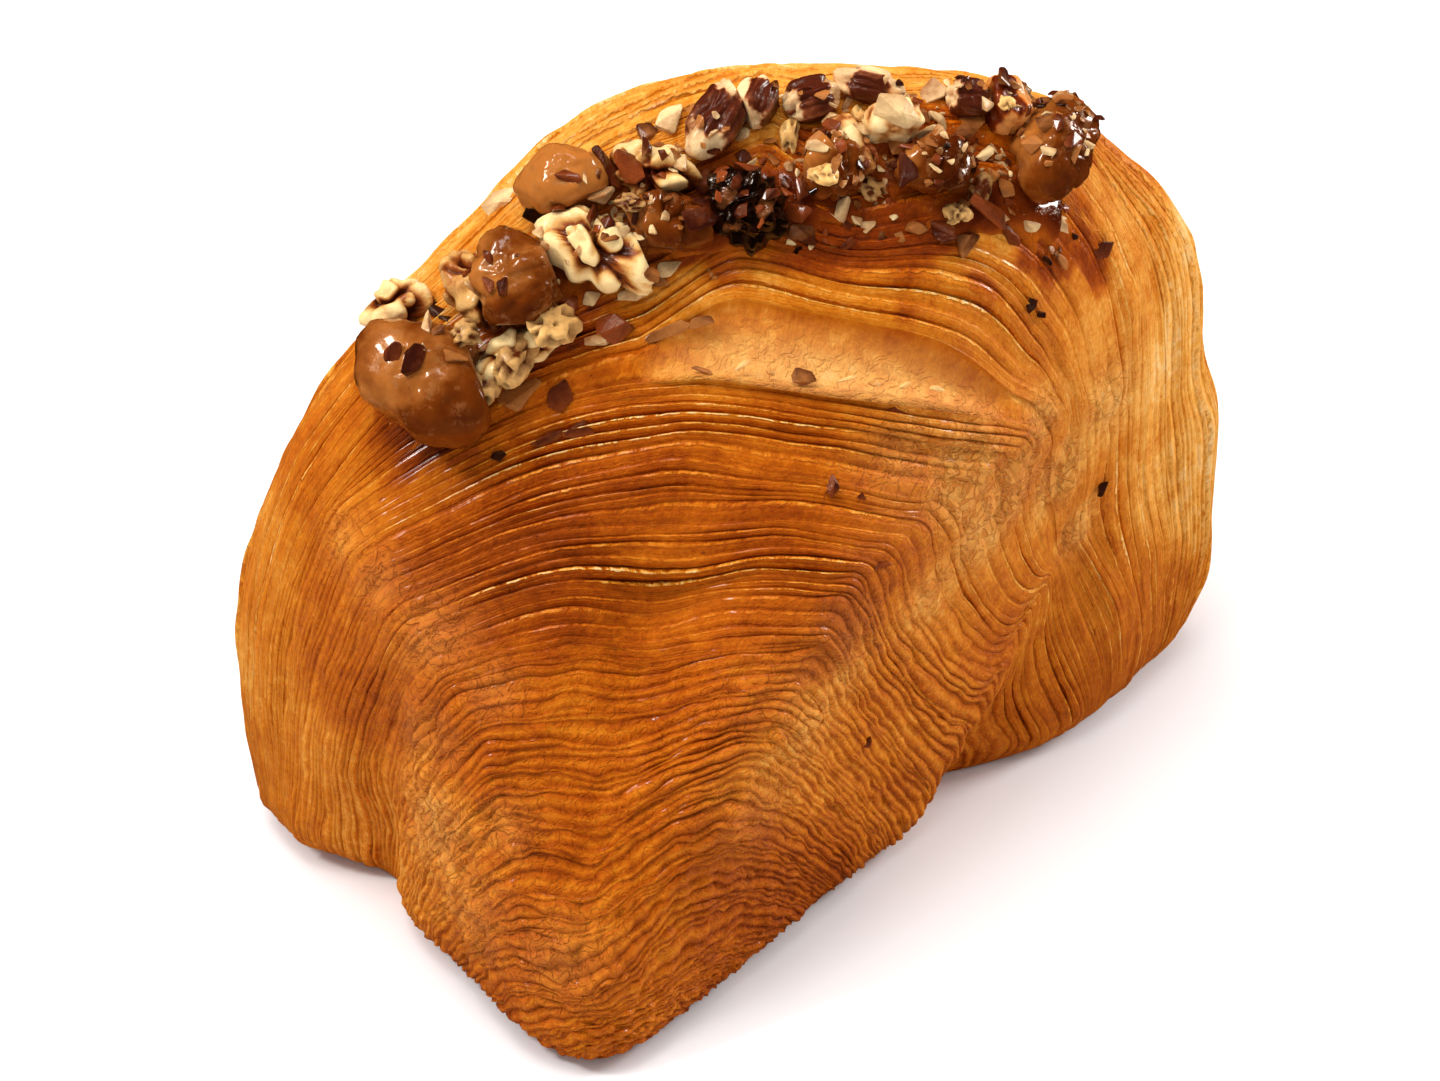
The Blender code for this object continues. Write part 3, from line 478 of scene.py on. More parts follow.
def from_path(points, path):
    """Distance to a path of points, and the share of the path where it is nearest."""
    path = np.asarray(path, float)
    best = np.full(points.shape[:-1], 1e9)
    share = np.zeros(points.shape[:-1])
    lengths = np.linalg.norm(np.diff(path, axis=0), axis=1)
    starts = np.concatenate([[0], np.cumsum(lengths)])
    for i, length in enumerate(lengths):
        along = path[i + 1] - path[i]
        t = np.clip((points - path[i]) @ along / length**2, 0, 1)
        distance = np.linalg.norm(points - (path[i] + t[..., None] * along), axis=-1)
        share = np.where(distance < best, (starts[i] + t * length) / starts[-1], share)
        best = np.minimum(best, distance)
    return best, share


def half_turned(path, turned):
    """The path itself, or its twin on the other side of the middle."""
    sign = -1 if turned else 1
    return np.array(path) * np.array([sign, sign, 1])


def surface(run, bearing):
    """Points of the folded bun. run is 0 at the top and 1 at the floor."""
    points = dome(run, bearing)
    total = np.zeros(points.shape[:-1])
    for fold in FOLDS:
        first, last = fold["push"]
        for turned in (False, True):
            distance, share = from_path(points, half_turned(fold["path"], turned))
            weight = TWIN_BULGE if turned and first < 0 else 1
            total += weight * (first + (last - first) * share) * bell(distance, fold["width"])
    axis = np.zeros_like(points)
    axis[..., 2] = np.clip(points[..., 2], 0, CORE[2])
    points = points - unit(points - axis) * total[..., None]
    points[..., 2] = np.where(run >= 1 - 1e-9, 0, np.maximum(points[..., 2], 0))
    return points


def tug(points, run):
    """How far the layer edges are pulled up the surface, as a share of the run."""
    total = np.zeros(points.shape[:-1])
    for pull in TUGS:
        first, last = pull["pull"]
        for turned in (False, True):
            distance, share = from_path(points, half_turned(pull["path"], turned))
            rounded = np.sqrt(distance**2 + pull["rounding"] ** 2) - pull["rounding"]
            total += (first + (last - first) * share) * np.exp(-rounded / pull["width"])
    fade_in, fade_out = TUG_FADES
    return total * ease(*fade_in, run) * (1 - ease(*fade_out, run))


def arch_rise(angle):
    """1 over the middle of an arch, 0 at its feet, for an angle from 0 to pi."""
    x = np.abs(angle - pi / 2) / (pi / 2)
    full = sqrt(1 + ARCH_ROUNDING**2) - ARCH_ROUNDING
    return 1 - (np.sqrt(x * x + ARCH_ROUNDING**2) - ARCH_ROUNDING) / full


def arch_foot(rise):
    """The angle under pi/2 at which arch_rise gives this value."""
    full = sqrt(1 + ARCH_ROUNDING**2) - ARCH_ROUNDING
    y = (1 - rise) * full + ARCH_ROUNDING
    return pi / 2 * (1 - sqrt(max(y * y - ARCH_ROUNDING**2, 0)))


def layer_edge(level, back=False, count=300):
    """Run and bearing along one layer's edge, from its left foot to its right one."""
    level = min(max(level, 1e-4), 0.9995)
    spread = 1 - (1 - ARCH_SPREAD) * ease(0.0, SPREAD_LEVEL, level)
    foot = arch_foot(level ** (1 / spread))
    even = np.linspace(1 / np.tan(foot), -1 / np.tan(foot), count)
    angle = np.arctan2(1, even)
    turn = ARCH_TURN[0] + (ARCH_TURN[1] - ARCH_TURN[0]) * level
    plain = np.linspace(0, pi, 400)
    turned = np.interp(angle, plain + turn * np.sin(plain) ** 2, plain)
    run = np.minimum(1, level / arch_rise(angle) ** spread)
    bearing = radians(FOCUS_BEARING) + turned + (pi if back else 0)
    return run, bearing


def spaced_evenly(points, count):
    """The same line of points with even steps along it."""
    steps = np.linalg.norm(np.diff(points, axis=0), axis=1)
    along = np.concatenate([[0], np.cumsum(steps)])
    wanted = np.linspace(0, along[-1], count)
    return np.stack([np.interp(wanted, along, points[:, k]) for k in range(3)], -1)


def smooth_half(levels, back):
    """Places over one half of the plain dough, [level, step], and under it."""
    edges = [layer_edge(level, back) for level in levels]
    run = np.array([edge[0] for edge in edges])
    bearing = np.array([edge[1] for edge in edges])
    run = np.clip(run - tug(surface(run, bearing), run), 0, 1)
    over = np.array([spaced_evenly(line, OVER) for line in surface(run, bearing)])
    share = np.linspace(0, 1, UNDER + 2)[1:-1]
    x = np.cos(bearing[:, -1:]) * (1 - share) + np.cos(bearing[:, :1]) * share
    y = np.sin(bearing[:, -1:]) * (1 - share) + np.sin(bearing[:, :1]) * share
    reach = np.hypot(x, y)
    under = surface(np.ones_like(reach), np.arctan2(y, x)) * reach[..., None]
    order = -1 if back else 1
    return over[:, ::order], under[:, ::order]


# ---------------------------------------------------------------- noise over a grid
def spline_weights(count, cells):
    """Weights that turn values on a coarse line into a smooth line of many points."""
    apart = np.abs(np.linspace(0, cells, count)[:, None] - np.arange(-1, cells + 2))
    near = 2 / 3 - apart**2 + apart**3 / 2
    far = (2 - apart) ** 3 / 6
    return np.where(apart < 1, near, np.where(apart < 2, far, 0))


def soft_noise(rng, shape, cells):
    """Smooth seeded noise over a grid, with a spread of 1."""
    coarse = rng.normal(size=(cells[0] + 3, cells[1] + 3))
    field = spline_weights(shape[0], cells[0]) @ coarse @ spline_weights(shape[1], cells[1]).T
    return field / field.std()


# ---------------------------------------------------------------- the crust's mesh
def layer_levels(rng):
    """The levels of one half's grooves, from the crest to the focus."""
    middle = (np.arange(LAYERS) + 0.5) / LAYERS
    widths = (1.10 - 0.30 * middle) * rng.uniform(0.45, 1.55, LAYERS)
    widths = widths * (0.5 + 0.5 * ease(0, CREST_END, middle))
    edges = np.concatenate([[0], np.cumsum(widths)])
    return edges / edges[-1] * 0.992


def sampled(grid_levels, grid, levels):
    """A grid's rows at other levels, one level for each row and column."""
    place = np.interp(-levels, -grid_levels, np.arange(len(grid_levels)))
    place = np.clip(place, 0, len(grid_levels) - 1.001)
    row = place.astype(int)
    t = (place - row)[..., None]
    column = np.broadcast_to(np.arange(grid.shape[1]), levels.shape)
    return grid[row, column] * (1 - t) + grid[row + 1, column] * t


def smooth_dough():
    """The plain dough as a grid: signed levels, places over it, places under it and normals."""
    steps = np.linspace(0.9995, 0, GRID_LEVELS)
    front_over, front_under = smooth_half(steps, False)
    back_over, back_under = smooth_half(steps[::-1][1:], True)
    grid_levels = np.concatenate([steps, -steps[::-1][1:]])
    over = np.concatenate([front_over, back_over])
    under = np.concatenate([front_under, back_under])
    normals = unit(np.cross(np.gradient(over, axis=1), np.gradient(over, axis=0)))
    if normals[..., 2].mean() < 0:
        normals = -normals
    return grid_levels, over, under, normals


def opening(along):
    """How far the opened layer gapes, 0 at its ends and 1 in its middle, and its tilted half."""
    x = (along - OPENED["middle"]) / OPENED["half"]
    within = np.clip(1 - x * x, 0, 1)
    return within**1.2 * (1 - 0.30 * x), within * (1 - 0.5 * x) * 0.6


def puffiness(level, along):
    """How far the layers have swollen into soft ridges, 0 to 1."""
    flank = 0.6 * (1 - ease(*PUFFY_FLANK, along)) * ease(0.05, 0.16, level)
    start = PUFFY_START[0] + (PUFFY_START[1] - PUFFY_START[0]) * ease(*RIGHT_RIDGE, along)
    return np.maximum(ease(0, PUFFY_EASE, level - start), flank)


def between_grooves(values, layer, part):
    """Values given for each groove, at rings between the grooves."""
    share = np.array(LAYER_PARTS)[part][:, None]
    return values[layer] * (1 - share) + values[layer + 1] * share


def groove_shifts(rng, edges, along):
    """How far each groove strays from its level along its edge."""
    grooves = (len(edges), OVER)
    held = (ease(0, 0.03, edges) * ease(0, 0.04, 1 - edges))[:, None]
    own = np.clip(0.22 * soft_noise(rng, grooves, (LAYERS, 13)), -0.40, 0.40) / LAYERS
    waves = (0.05 + 0.15 * puffiness(edges[:, None], along)) * soft_noise(rng, grooves, (LAYERS, 70))
    shared = 0.0028 * soft_noise(rng, grooves, (9, 9))
    return (shared + own + np.clip(waves, -0.36, 0.36) / LAYERS) * held


def groove_depths(rng, edges):
    """How deep each groove is along its edge: most are shallow, a few are deep."""
    grooves = (len(edges), OVER)
    shares, least, greatest = np.array(GROOVE_KINDS).T
    kinds = rng.choice(len(shares), len(edges), p=shares)
    strength = rng.uniform(least[kinds], greatest[kinds])
    deep = strength[:, None] * (1 + 0.40 * soft_noise(rng, grooves, (LAYERS, 11)))
    deep = deep * (1 + 0.30 * soft_noise(rng, grooves, (LAYERS, 34)))
    at_crest, past_it = DEEPEST
    deepest = at_crest + (past_it - at_crest) * ease(0, CREST_END, edges)
    return np.clip(deep, SHALLOWEST, deepest[:, None])


def part_layers(edges, opened, shift, deep, along):
    """The grooves' shifts and depths, parted round the opened layer and filled on its flap."""
    gape, tilted = opening(along)
    above = ease(0.02, OPENED["level"], edges) * (edges <= edges[opened])
    below = (1 - ease(edges[opened], 0.33, edges)) * (edges > edges[opened])
    shift = shift - OPENED["up"] * above[:, None] * gape + OPENED["down"] * below[:, None] * tilted
    flap = ease(edges[opened], edges[opened] + 0.004, edges) * (1 - ease(*FLAP_LEVELS, edges))
    return shift, deep * (1 - 0.75 * flap[:, None] * gape)


def layer_relief(rng, part, reach, puffy):
    """How far each place stands off the plain dough, in millimetres."""
    shape = reach.shape
    crisp, soft = (np.array(heights)[part][:, None] for heights in (LAYER_HEIGHTS, PUFFY_HEIGHTS))
    profile = crisp * (1 - puffy) + soft * puffy
    ragged = 0.07 * soft_noise(rng, shape, (shape[0] // 2, 100))
    ragged = ragged + 0.10 * soft_noise(rng, shape, (shape[0] // 8, 34))
    broad = 0.16 * soft_noise(rng, shape, (16, 16))
    beads = 0.14 * puffy * soft_noise(rng, shape, (shape[0] // 3, 120))
    lips = np.where(part == 1, 1.5, 0.8)[:, None]
    return profile * reach * GROOVE_DEPTH + ragged * lips + broad + beads


def open_layer(push, level, opened, along):
    """Sink the opened layer's rings in push, lift the flap under it, and return its crumb's share."""
    gape = opening(along)[0]
    crumb = np.zeros(push.shape)
    first = opened * len(LAYER_PARTS)
    for step, (height, share) in enumerate(zip(OPENED["heights"], OPENED["crumb"])):
        push[first + step] = push[first + step] * (1 - 0.7 * gape) + height * np.sqrt(gape)
        crumb[first + step] = gape**0.35 * share
    push[first + len(OPENED["heights"])] += 0.35 * gape
    flap = ease(OPENED["level"] + 0.01, FLAP_LEVELS[1], level) * (level < FLAP_LEVELS[1] + 0.002)
    lifted = ease(*FLAP_LIFT[:2], along) * (1 - ease(*FLAP_LIFT[2:], along))
    push += FLAP_LIFT_HEIGHT * flap * lifted
    return crumb


def crust_shape(dough, back):
    """Places of one half's rings, from the crest to the focus, and what its finish reads there."""
    rng = np.random.default_rng(SEED + back)
    grid_levels, over, under, normals = dough
    edges = layer_levels(rng)
    opened = int(np.searchsorted(edges, OPENED["level"]))
    edges[opened] = OPENED["level"]
    layer = np.repeat(np.arange(LAYERS), len(LAYER_PARTS))
    part = np.tile(np.arange(len(LAYER_PARTS)), LAYERS)
    along = np.linspace(0, 1, OVER)
    if back:
        along = along[::-1]
    shift = groove_shifts(rng, edges, along)
    deep = groove_depths(rng, edges)
    if not back:
        shift, deep = part_layers(edges, opened, shift, deep, along)

    level = np.clip(between_grooves(edges[:, None] + shift, layer, part), 0, 0.9994)
    signed = -level if back else level
    points = sampled(grid_levels, over, signed)
    facing = unit(sampled(grid_levels, normals, signed))
    blister = np.minimum(1, 1.5 * spot_share(points, BLISTER_PLACES, back))
    puffy = np.maximum(puffiness(level, along), 0.8 * blister)
    reach = between_grooves(deep, layer, part)
    reach = reach * (1 - puffy) + (0.42 + 0.34 * reach) * puffy
    reach = reach * (1 - spot_share(points, SMOOTH_PLACES, back))
    push = layer_relief(rng, part, reach, puffy)
    crumb = np.zeros(push.shape) if back else open_layer(push, level, opened, along)
    room = ease(*CROWDING, np.linalg.norm(np.gradient(points, axis=0), axis=-1))
    push = push * ease(*FOOT_FADE, points[..., 2]) * room
    push[0] = -SEAM_DEPTH * ease(*FOOT_FADE, points[0, :, 2])
    push = push + 0.36 * blister * soft_noise(rng, push.shape, (push.shape[0] // 5, 90))
    points = inside_box(points + facing * push[..., None])
    points[..., 2] = np.maximum(points[..., 2], 0)

    below = np.pad(under, ((0, 0), (0, OVER - UNDER), (0, 0)))
    below = sampled(grid_levels, below, np.broadcast_to(signed.mean(axis=1, keepdims=True), push.shape))
    places = np.concatenate([points, below[:, :UNDER]], axis=1)
    lengths = np.linalg.norm(np.diff(points, axis=1), axis=-1).sum(axis=1)
    run = (np.linspace(0, 1, OVER) - 0.5) * lengths[:, None]
    across = (layer + np.array(LAYER_PARTS)[part])[:, None] + (BACK_ACROSS if back else 0)
    glaze = glaze_at(points, rng)
    marks = dict(deep=reach * room, crumb=crumb, blister=blister, puffy=puffy, glaze=glaze)
    return places, marks, run, np.broadcast_to(across, push.shape)


def glaze_at(points, rng):
    """How far the syrup from the band has soaked over the layers, 0 to 1."""
    distance, share = from_path(points, BAND)
    uneven = soft_noise(rng, points.shape[:2], (40, 60)) + 0.6 * soft_noise(rng, points.shape[:2], (110, 90))
    width = GLAZE_WIDTH * (0.60 + 0.40 * ease(*RIGHT_HALF, share)) * (1 + 0.24 * uneven)
    return (1 - ease(0.75, 1.10, distance / np.maximum(width, 1))) * ease(0.0, 0.08, share)


def inside_box(points):
    """Points eased back where they come near the sides or the top of the solid's box."""
    for axis, side in ((0, 1), (0, -1), (1, 1), (1, -1), (2, 1)):
        wall = (cad_high if side > 0 else cad_low)[axis] / MM + (*MIDDLE, 0)[axis]
        start = side * wall - BOX_MARGIN - BOX_EASE
        over = side * points[..., axis] - start
        eased = side * (start + BOX_EASE * np.tanh(over / BOX_EASE))
        points[..., axis] = np.where(over > 0, eased, points[..., axis])
    return points


def padded_under(values):
    """Values over the bun continued under it."""
    tail = np.linspace(0, 1, UNDER + 2)[1:-1]
    return np.concatenate([values, values[:, -1:] * (1 - tail) + values[:, :1] * tail], axis=1)


def spot_share(points, spots, back):
    """How much of a list of spots (place, reach, strength) is felt at points."""
    total = np.zeros(points.shape[:-1])
    for place, reach, strength in spots:
        middle = np.array(place) * ((-1, -1, 1) if back else (1, 1, 1))
        total = np.maximum(total, strength * bell(np.linalg.norm(points - middle, axis=-1), reach))
    return total


def browning_at(points):
    """How brown the crust is at points of the dough's own frame."""
    places = np.array([place for place, _ in BROWNING_PLACES], float)
    tones = np.array([tone for _, tone in BROWNING_PLACES])
    shown = len(places)
    places = np.concatenate([places, places * (-1, -1, 1)])
    tones = np.concatenate([tones, tones])
    trust = np.where(np.arange(len(places)) < shown, 1.0, TWIN_TRUST)
    apart = np.linalg.norm(points[..., None, :] - places, axis=-1) / BROWNING_REACH
    weight = trust * (bell(apart, 1) + FAR_BROWNING / (1 + apart**4))
    return (weight * tones).sum(-1) / weight.sum(-1)


def make_crust(dough, back):
    """One half of the dough with its layers, from a sphere whose rings are moved onto them.

    One pole is the focus and the other lies inside the bun, behind the seam along the crest.
    """
    places, marks, run, across = crust_shape(dough, back)
    rings, steps = places.shape[:2]
    focus_bearing = layer_edge(1.0, back)[1].mean()
    focus = surface(np.array([1.0]), np.array([focus_bearing]))[0]
    crust, corners = add_sphere("crust_back" if back else "crust_front", steps, rings + 1)
    mesh = crust.data
    mesh.name = crust.name
    ring = np.round(np.arccos(np.clip(corners[:, 2], -1, 1)) / pi * (rings + 1)).astype(int) - 1
    step = np.round(np.arctan2(corners[:, 1], corners[:, 0]) / (2 * pi) * steps).astype(int) % steps
    inside = np.clip(ring, 0, rings - 1)
    moved = places[inside, step]
    moved[ring < 0] = places[0].mean(axis=0)
    moved[ring >= rings] = focus
    mesh.vertices.foreach_set("co", placed(moved).ravel())
    tone = np.concatenate([browning_at(part) for part in np.array_split(moved, 24)])
    tone = np.where(moved[:, 2] < 0.4, FOOT_TONE, tone + 0.10 * (1 - ease(0.5, 4.0, moved[:, 2])))
    # Painted shade along the seam's groove.
    tone = np.where(ring <= 0, np.maximum(tone, SEAM_TONE), tone)
    marks = {name: padded_under(values)[inside, step] for name, values in marks.items()}
    write_marks(mesh, **marks, tone=tone)
    loops = np.empty(len(mesh.loops), int)
    mesh.loops.foreach_get("vertex_index", loops)
    uv = np.stack([padded_under(run)[inside, step], padded_under(across)[inside, step]], -1)
    mesh.uv_layers[0].data.foreach_set("uv", uv[loops].astype(np.float32).ravel())
    select_none()
    crust.select_set(True)
    bpy.context.view_layer.objects.active = crust
    bpy.ops.object.mode_set(mode="EDIT")
    bpy.ops.mesh.select_all(action="SELECT")
    bpy.ops.mesh.normals_make_consistent(inside=False)
    bpy.ops.object.mode_set(mode="OBJECT")
    bpy.ops.object.shade_smooth()
    ends = np.empty(len(mesh.edges) * 2, int)
    mesh.edges.foreach_get("vertices", ends)
    on_seam = (ring[ends.reshape(-1, 2)] == 0).all(axis=1)
    sharp = mesh.attributes.get("sharp_edge") or mesh.attributes.new("sharp_edge", "BOOLEAN", "EDGE")
    sharp.data.foreach_set("value", on_seam)
    mesh.update()
    return crust


# ---------------------------------------------------------------- toppings
def camera_axes():
    """Directions from the target to the camera, to the right and up."""
    azimuth, elevation = radians(CAMERA_AZIMUTH), radians(CAMERA_ELEVATION)
    back = np.array((sin(azimuth) * cos(elevation), -cos(azimuth) * cos(elevation), sin(elevation)))
    right = np.array((cos(azimuth), sin(azimuth), 0))
    return back, right, np.cross(back, right)


def pixel_place(across, down, tree):
    """The place on the dough that a pixel of the photograph shows, and the normal there.

    A pixel just outside the outline is taken inwards until it shows the dough.
    """
    back, right, up = camera_axes()
    focal = CAMERA_LENS / CAMERA_SENSOR * PHOTO_SIZE[0]
    eye = Vector(CAMERA_TARGET + back * CAMERA_DISTANCE)
    for inwards in np.linspace(1, 0, 60):
        x, y = (across - PHOTO_SIZE[0] / 2) * inwards, (down - PHOTO_SIZE[1] / 2) * inwards
        ray = unit(right * x - up * y - back * focal)
        place, normal, _, _ = tree.ray_cast(eye, Vector(ray), 900)
        if place is not None:
            break
    normal = np.array(normal)
    return np.array(place), normal if normal @ ray < 0 else -normal


def tree_of(dough_places, pieces=()):
    """A tree of the dough, and of any pieces, for finding places on them, in millimetres."""
    rows, columns = dough_places.shape[:2]
    count = rows * columns
    corner = np.arange(count).reshape(rows, columns)
    faces = np.stack([corner[:-1, :-1], corner[1:, :-1], corner[1:, 1:], corner[:-1, 1:]], -1)
    faces = faces.reshape(-1, 4).tolist()
    corners = [dough_places.reshape(-1, 3)]
    for piece in pieces:
        corners.append(corners_of(piece.data) / MM + np.array((*MIDDLE, 0)))
        faces += [[v + count for v in face.vertices] for face in piece.data.polygons]
        count += len(piece.data.vertices)
    return BVHTree.FromPolygons(np.concatenate(corners).tolist(), faces)


def surface_at(direction, tree):
    """Where a ray from the core meets the dough, and the normal there, outwards."""
    place, normal, _, _ = tree.ray_cast(Vector(CORE), Vector(direction), 200)
    normal = np.array(normal)
    return np.array(place), normal if normal @ np.array(direction) > 0 else -normal


def smooth_normal(direction, tree, spread=0.06):
    """The mean normal round a place, so that one facet doesn't tip a piece."""
    total = np.zeros(3)
    for dx in (-spread, 0, spread):
        for dz in (-spread, 0, spread):
            total += surface_at((direction[0] + dx, direction[1] + dz, direction[2]), tree)[1]
    return unit(total)


def seat(place, size, turn, tree):
    """The centre and the axes (length, width, up) of a topping on the bun."""
    bearing, rise = radians(place[0]), radians(place[1])
    direction = (cos(bearing) * cos(rise), sin(bearing) * cos(rise), sin(rise))
    foot = surface_at(direction, tree)[0]
    up = smooth_normal(direction, tree)
    east = unit(np.array([1.0, 0, 0]) - up[0] * up)
    north = np.cross(up, east)
    length = cos(radians(turn)) * east + sin(radians(turn)) * north
    centre = foot + up * size[2] / 2 * (1 - SUNK)
    return centre, np.array([length, np.cross(up, length), up])


def form_radius(form, half, d):
    """Distance from a topping's centre to its skin along local unit directions."""
    power = SQUARENESS[form]
    radius = ((np.abs(d) / half) ** power).sum(-1) ** (-1 / power)
    x, y, z = d.T
    if form == "lump":
        return radius * (1 + 0.05 * np.sin(4 * x + 2 * y) + 0.04 * np.cos(5 * y - 3 * z))
    if form == "walnut":
        lobes = np.cos(7.5 * x + 1.5 * y) * np.cos(4 * y + 0.6)
        return radius * (1 + 0.13 * lobes - 0.12 * bell(y, 0.22) * (z > 0))
    if form == "pecan":
        return radius * (1 - 0.16 * bell(np.abs(y) - 0.38, 0.16) * (z > 0))
    if form == "cup":
        return radius * (1 - 0.42 * np.exp(-((1 - z) / 0.16)))
    if form == "cluster":
        return radius * (1 + 0.16 * np.sin(8 * x + 1) * np.sin(7 * y) + 0.08 * np.cos(9 * z))
    return radius


def noise_at(points, scale, offset, octaves=1):
    """Smooth noise at points, about -1 to 1."""
    shift = Vector((offset * 7.3, offset * 3.1, offset * 11.7))
    return np.array([noise.fractal(Vector(p) * scale + shift, 0.7, 2.1, octaves) for p in points.tolist()])


def form_detail(form, local, skin, number):
    """The fine relief of a topping in millimetres outwards, and how pale its flesh is."""
    x, y, z = local.T
    if form == "lump":
        relief = 0.55 * noise_at(skin, 0.24, number, 2) + 0.10 * noise_at(skin, 1.1, number, 3)
        ribs = noise_at(skin * (1.0, 0.35, 0.6), 0.50, number + 17, 1)
        relief = relief - RIBBED.get(number, 0.15) * bell(ribs, 0.14)
        grain = ease(0.0, 0.5, noise_at(skin, 0.5, number + 40, 3)) * ease(-0.2, 0.7, z)
        return relief + 0.12 * grain * noise_at(skin, 2.2, number + 9, 2), grain
    if form == "walnut":
        bend = noise_at(skin, 0.10, number + 5, 1)
        folds = noise_at(skin + bend[:, None] * 1.2, 0.19, number, 1)
        crease = bell(folds, 0.11)
        second = bell(noise_at(skin, 0.30, number + 20, 1), 0.09)
        relief = 0.35 - 1.5 * crease - 0.45 * second + 0.05 * noise_at(skin, 0.8, number + 3, 2)
        pale = 1.1 - 1.15 * crease - 0.6 * second + 0.35 * noise_at(skin, 0.22, number + 31, 2)
        pale = np.clip(pale, 0, 1) * ease(-0.75, 0.0, z + 0.5 * folds)
        return relief, pale * WALNUT_PALENESS.get(number, 1.0)
    if form in ("pecan", "cup"):
        wrinkle = noise_at(skin * (0.5, 1.8, 1.2), 0.45, number, 3)
        groove = bell(noise_at(skin * (0.12, 1.0, 0.6), 0.7, number + 4, 1), 0.12)
        broken = ease(0.66, 0.86, np.abs(x) + 0.16 * wrinkle)
        side = ease(0.25, 0.5, y + 0.3 * wrinkle) * (number % 2)
        pale = np.maximum(broken, side)
        return 0.30 * wrinkle - 0.30 * groove - 0.3 * broken, np.clip(pale + 0.4 * wrinkle, 0, 0.85)
    if form == "cluster":
        lumps = noise_at(skin, 0.75, number, 3)
        return 0.75 * lumps, ease(0.25, 0.50, noise_at(skin, 0.55, number + 8, 2))
    facets = np.abs(noise_at(skin, 0.30, number, 2))
    worn = 0.5 * noise_at(skin, 1.1, number + 2, 2)
    return 0.9 * facets - 0.2, np.clip(CHUNK_PALENESS[number] + 1.2 * facets + worn, 0, 1)


def support(half, axes, direction):
    """Reach of a topping's plain ellipsoid along a world direction."""
    return float(np.linalg.norm(half * (axes @ direction)))


def make_topping(index, seats, finish):
    """One topping, in the place and form of its solid, with its fine relief."""
    name, form, _, size, _ = TOPPINGS[index]
    half = np.array(size) / 2
    centre, axes = seats[index]
    piece, corners = add_sphere(name + "_finished", *TOPPING_RINGS)
    mesh = piece.data
    local = unit(corners)
    radius = form_radius(form, half, local)
    relief, pale = form_detail(form, local, local * radius[:, None], index)
    radius = radius + relief
    world = local @ axes
    for other, (middle, other_axes) in enumerate(seats):
        apart = middle - centre
        distance = np.linalg.norm(apart)
        if other == index:
            continue
        direction = apart / distance
        own = support(half, axes, direction) * BULGE_MARGIN
        theirs = support(np.array(TOPPINGS[other][3]) / 2, other_axes, direction) * BULGE_MARGIN
        if own + theirs < distance:
            continue
        wall = distance * own / (own + theirs) - GAP / 2
        towards = world @ direction
        limit = np.where(towards > 1e-6, wall / np.maximum(towards, 1e-6), np.inf)
        radius = np.minimum(radius, limit)
    mesh.vertices.foreach_set("co", placed(inside_box(centre + world * radius[:, None])).ravel())
    # Painted light: each lump's own amber is made lighter on its top and on its side towards the upper left.
    painted_side_light = np.maximum(0, world @ np.array(PAINTED_LIGHT_SIDE)) ** 2
    write_marks(mesh, pale=pale, amber=AMBER.get(name, 0.5) + 0.10 * world[:, 2] + 0.26 * painted_side_light - 0.06)
    mesh.update()
    bpy.ops.object.shade_smooth()
    mesh.materials.append(finish)
    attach(piece, "root")
    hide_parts(name)
    return piece


# ---------------------------------------------------------------- syrup and bits
def film_places(grid, normals):
    """Places on the plain dough round the band, and the normals there, at the film's pitch."""
    near = from_path(grid, BAND)[0] < 1.5 * SYRUP_WIDTH
    rows = np.where(near.any(axis=1))[0]
    columns = np.where(near.any(axis=0))[0]
    area = (slice(rows[0], rows[-1] + 1), slice(columns[0], columns[-1] + 1))
    points, facing = grid[area], normals[area]
    wanted = np.linspace(0, points.shape[1] - 1, (points.shape[1] - 1) * SYRUP_FINENESS + 1)
    column = np.minimum(wanted.astype(int), points.shape[1] - 2)
    t = (wanted - column)[:, None]
    points = points[:, column] * (1 - t) + points[:, column + 1] * t
    return points, unit(facing[:, column] * (1 - t) + facing[:, column + 1] * t)


def film_thickness(points):
    """How thick the syrup stands on the dough, less than 0 where the film dips under it."""
    rng = np.random.default_rng(SEED + 5)
    distance, share = from_path(points, BAND)
    shape = points.shape[:2]
    uneven = 0.36 * soft_noise(rng, shape, (shape[0] // 10, shape[1] // 10))
    uneven = uneven + 0.22 * soft_noise(rng, shape, (shape[0] // 4, shape[1] // 5))
    right_half = ease(*RIGHT_HALF, share)
    width = SYRUP_WIDTH * (0.62 + 0.38 * right_half)
    level = 1 - (distance / width) ** 2 + np.clip(uneven, -1, 0.55)
    level = level - 1.4 * (1 - ease(0.0, 0.12, share)) - 1.2 * ease(0.98, 1.0, share)
    thickness = SYRUP_THICKNESS * (0.55 + 0.45 * right_half) * np.minimum(level, 1.1)
    return np.where(thickness > 0, thickness, 4 * thickness) - 0.1


